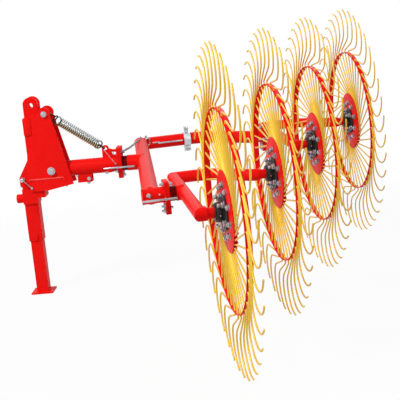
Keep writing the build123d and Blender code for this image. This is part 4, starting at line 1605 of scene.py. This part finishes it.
    def arm_rod(self) -> None:
        """Make the stowed rod on the back tube, with its bright pin and shackle."""
        rake = self.rake
        back = Tubes.elbow[1] - self.arm_rod_back
        blank = Blank()
        radius, length, edge = self.arm_bar
        blank.disc(facing(rake.point(0.0, back), rake.along), radius, length, 20, edge)
        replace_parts(blank.piece("arm_rod_bar", Finish.ZINC, "frame"), "arm_rod")
        blank = Blank()
        along, rise = self.arm_pin_at
        blank.disc(facing(rake.point(along, back, rise), rake.along), *self.arm_pin, 16, FINE_EDGE)
        along, out, rise = self.arm_ball_at
        blank.ball(rake.point(along, back + out, rise), self.arm_ball)
        along, out, rise = self.shackle_at
        shackle = rake.point(along, back + out, rise)
        blank.link(facing(shackle, -rake.back), *self.shackle_link)
        rise, out = self.shackle_pin_at
        pin = facing(shackle + UP * rise - rake.back * out, rake.back)
        blank.disc(pin, *self.shackle_pin, 14, FINE_EDGE)
        along, out, rise = self.shackle_bolt_at
        thread, stem = self.shackle_bolt
        Bolt(thread).head(blank, facing(rake.point(along, back + out, rise), UP), stem)
        blank.piece("arm_rod_shackle", Finish.ZINC, "frame", 35)

    def beam_fittings(self) -> None:
        """Add the small pins, the keeper wire and the bracket's bolt on the beam."""
        blank = Blank()
        start, end = self.beam_wire_ends
        wire, knob = self.beam_wire
        blank.bar(start, end, wire, 8)
        blank.ball(end, knob)
        blank.disc(facing(self.beam_pin_at, AHEAD), *self.beam_pin, 14, FINE_EDGE)
        for centre, radius in self.beam_balls:
            blank.ball(Vector(centre), radius)
        for spot, outward, thread, stem in self.beam_bolts:
            Bolt(thread).head(blank, facing(Vector(spot), outward), stem)
        blank.piece("beam_pins", Finish.ZINC, "beam", 35)

    def chain(self) -> None:
        """Hang the keeper chain from the joint's flange to the corner of the back tube."""
        low, count = self.chain_low, self.chain_count
        along, rise = self.chain_high
        high = self.rake.point(along, Tubes.elbow[1] - self.chain_inset, rise)
        mid = (low + high) / 2 - UP * self.chain_sag
        blank = Blank()
        for step in range(count):
            share = (step + 0.5) / count
            at = low.lerp(mid, share).lerp(mid.lerp(high, share), share)
            way = (mid - low).lerp(high - mid, share)
            place = facing(at, way) @ Matrix.Rotation(ROUND / 4 * (step % 2), 4, "Z")
            blank.link(place @ Matrix.Rotation(-ROUND / 4, 4, "Y"), *self.chain_link)
        log.info("chain of %d links spans %.3f", count, (high - low).length)
        blank.piece("keeper_chain", Finish.DULL_ZINC, "frame")


@dataclass
class Studio:
    """The camera, the lamps, the floor and the pale surroundings."""

    eye: Vector = field(default_factory=lambda: Vector((1.311, -6.068, 0.543)))
    yaw: float = math.radians(-3.87)
    pitch: float = math.radians(11.01)
    roll: float = math.radians(-5.73)
    focal_pixels: float = 1080.0
    picture: float = 400.0
    sensor: float = 36.0
    floor: float = -1.093
    lift: float = 0.004
    far_clip: float = 200.0
    target: ClassVar[Vector] = Vector((0.9, 0.2, -0.4))
    lamp_table: ClassVar = (
        # name, place, size, power
        ("key_lamp", Vector((-3.0, -3.5, 4.4)), 1.6, 330.0),
        ("fill_lamp", Vector((4.5, -5.0, 2.0)), 3.0, 55.0),
        ("rim_lamp", Vector((1.5, 6.0, 3.6)), 3.0, 60.0),
    )
    fill_colour: Colour = (0.96, 0.98, 1.0, 1.0)
    fill_strength: float = 0.42
    floor_half: float = 60.0
    floor_grey: Colour = (0.6, 0.6, 0.6, 1.0)
    shadow_range: tuple[float, float] = (1.6, 3.4)
    near_glow: float = 0.95

    def build(self) -> None:
        """Set up everything that isn't the rake."""
        self.camera()
        self.lamps()
        self.surroundings()
        self.ground()
        bpy.context.scene.view_settings.view_transform = "Standard"

    def camera(self) -> None:
        """Place the camera as in the photograph."""
        level = math.cos(self.pitch)
        ahead = Vector((math.sin(self.yaw) * level, math.cos(self.yaw) * level, -math.sin(self.pitch)))
        right = Vector((math.cos(self.yaw), -math.sin(self.yaw), 0))
        up = right.cross(ahead)
        turned_right = right * math.cos(self.roll) + up * math.sin(self.roll)
        turned_up = up * math.cos(self.roll) - right * math.sin(self.roll)
        data = bpy.data.cameras.new("photo_camera")
        data.sensor_width = self.sensor
        data.lens = self.focal_pixels / self.picture * self.sensor
        data.shift_y = self.lift
        data.clip_end = self.far_clip
        made = bpy.data.objects.new("photo_camera", data)
        bpy.context.scene.collection.objects.link(made)
        turned = Matrix((turned_right, turned_up, -ahead)).transposed().to_4x4()
        made.matrix_world = Matrix.Translation(self.eye) @ turned
        bpy.context.scene.camera = made

    def lamps(self) -> None:
        """Hang a soft lamp up on the left, a fill on the right and one behind."""
        for name, spot, size, power in self.lamp_table:
            data = bpy.data.lights.new(name, "AREA")
            data.shape = "DISK"
            data.size = size
            data.energy = power
            made = bpy.data.objects.new(name, data)
            made.location = spot
            made.rotation_mode = "QUATERNION"
            made.rotation_quaternion = (self.target - spot).to_track_quat("-Z", "Y")
            bpy.context.scene.collection.objects.link(made)

    def surroundings(self) -> None:
        """Make the world white to the camera and in reflections, and a soft fill otherwise."""
        world = bpy.data.worlds.new("white_room")
        bpy.context.scene.world = world
        world.use_nodes = True
        tree = world.node_tree
        tree.nodes.clear()
        path = tree.nodes.new("ShaderNodeLightPath")
        seen = path.outputs["Is Camera Ray"]
        for name in ("Is Glossy Ray", "Is Transmission Ray"):
            either = tree.nodes.new("ShaderNodeMath")
            either.operation = "MAXIMUM"
            tree.links.new(seen, either.inputs[0])
            tree.links.new(path.outputs[name], either.inputs[1])
            seen = either.outputs[0]
        chosen = tree.nodes.new("ShaderNodeMixShader")
        tree.links.new(seen, chosen.inputs[0])
        for place, colour, strength in ((1, self.fill_colour, self.fill_strength), (2, WHITE, 1.0)):
            light = tree.nodes.new("ShaderNodeBackground")
            light.inputs["Color"].default_value = colour
            light.inputs["Strength"].default_value = strength
            tree.links.new(light.outputs[0], chosen.inputs[place])
        last = tree.nodes.new("ShaderNodeOutputWorld")
        tree.links.new(chosen.outputs[0], last.inputs[0])

    def ground(self) -> None:
        """Lay the pale floor: white to the camera further out, with the rake's shadow near it."""
        mesh = bpy.data.meshes.new("pale_floor")
        bm = bmesh.new()
        place = Matrix.Translation((1.0, 0.0, self.floor))
        bmesh.ops.create_grid(bm, x_segments=1, y_segments=1, size=self.floor_half, matrix=place)
        bm.to_mesh(mesh)
        bm.free()
        made = bpy.data.objects.new("pale_floor", mesh)
        bpy.context.scene.collection.objects.link(made)
        graph = Graph("pale_floor")
        path = graph.node("ShaderNodeLightPath")
        seen = graph.out(path, "Is Camera Ray").math("MAXIMUM", graph.out(path, "Is Glossy Ray"))
        seen = seen.math("MAXIMUM", graph.out(path, "Is Transmission Ray"))
        away = graph.vector("DISTANCE", graph.place(), (1.0, 0.3, self.floor), out="Value")
        far = away.above(*self.shadow_range)
        matt = graph.node("ShaderNodeBsdfDiffuse", {}, {"Color": self.floor_grey})
        glow = graph.node("ShaderNodeEmission", {}, {"Color": WHITE, "Strength": 1.0})
        both = graph.node(
            "ShaderNodeMixShader",
            {},
            {0: seen * (self.near_glow + (1 - self.near_glow) * far), 1: graph.out(matt), 2: graph.out(glow)},
        )
        graph.node("ShaderNodeOutputMaterial", {}, {"Surface": graph.out(both)})
        mesh.materials.append(graph.material)


def corners(box: tuple[Vector, Vector]) -> list[list[float]]:
    """Return a box's two corners as plain lists."""
    return [list(corner) for corner in box]


def main() -> None:
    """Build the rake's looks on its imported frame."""
    logging.basicConfig(level=logging.INFO, format="%(name)s %(message)s")
    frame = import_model()
    rake = RakeFrame(frame["joints"])
    Studio().build()
    for number in range(1, 5):
        Wheel(rake).build(number)
    Tubes(rake).build()
    BeamGroup(rake).build()
    Headstock(rake).build()
    LiftSpring().build()
    Trim(rake).build()


if __name__ == "__main__":
    main()
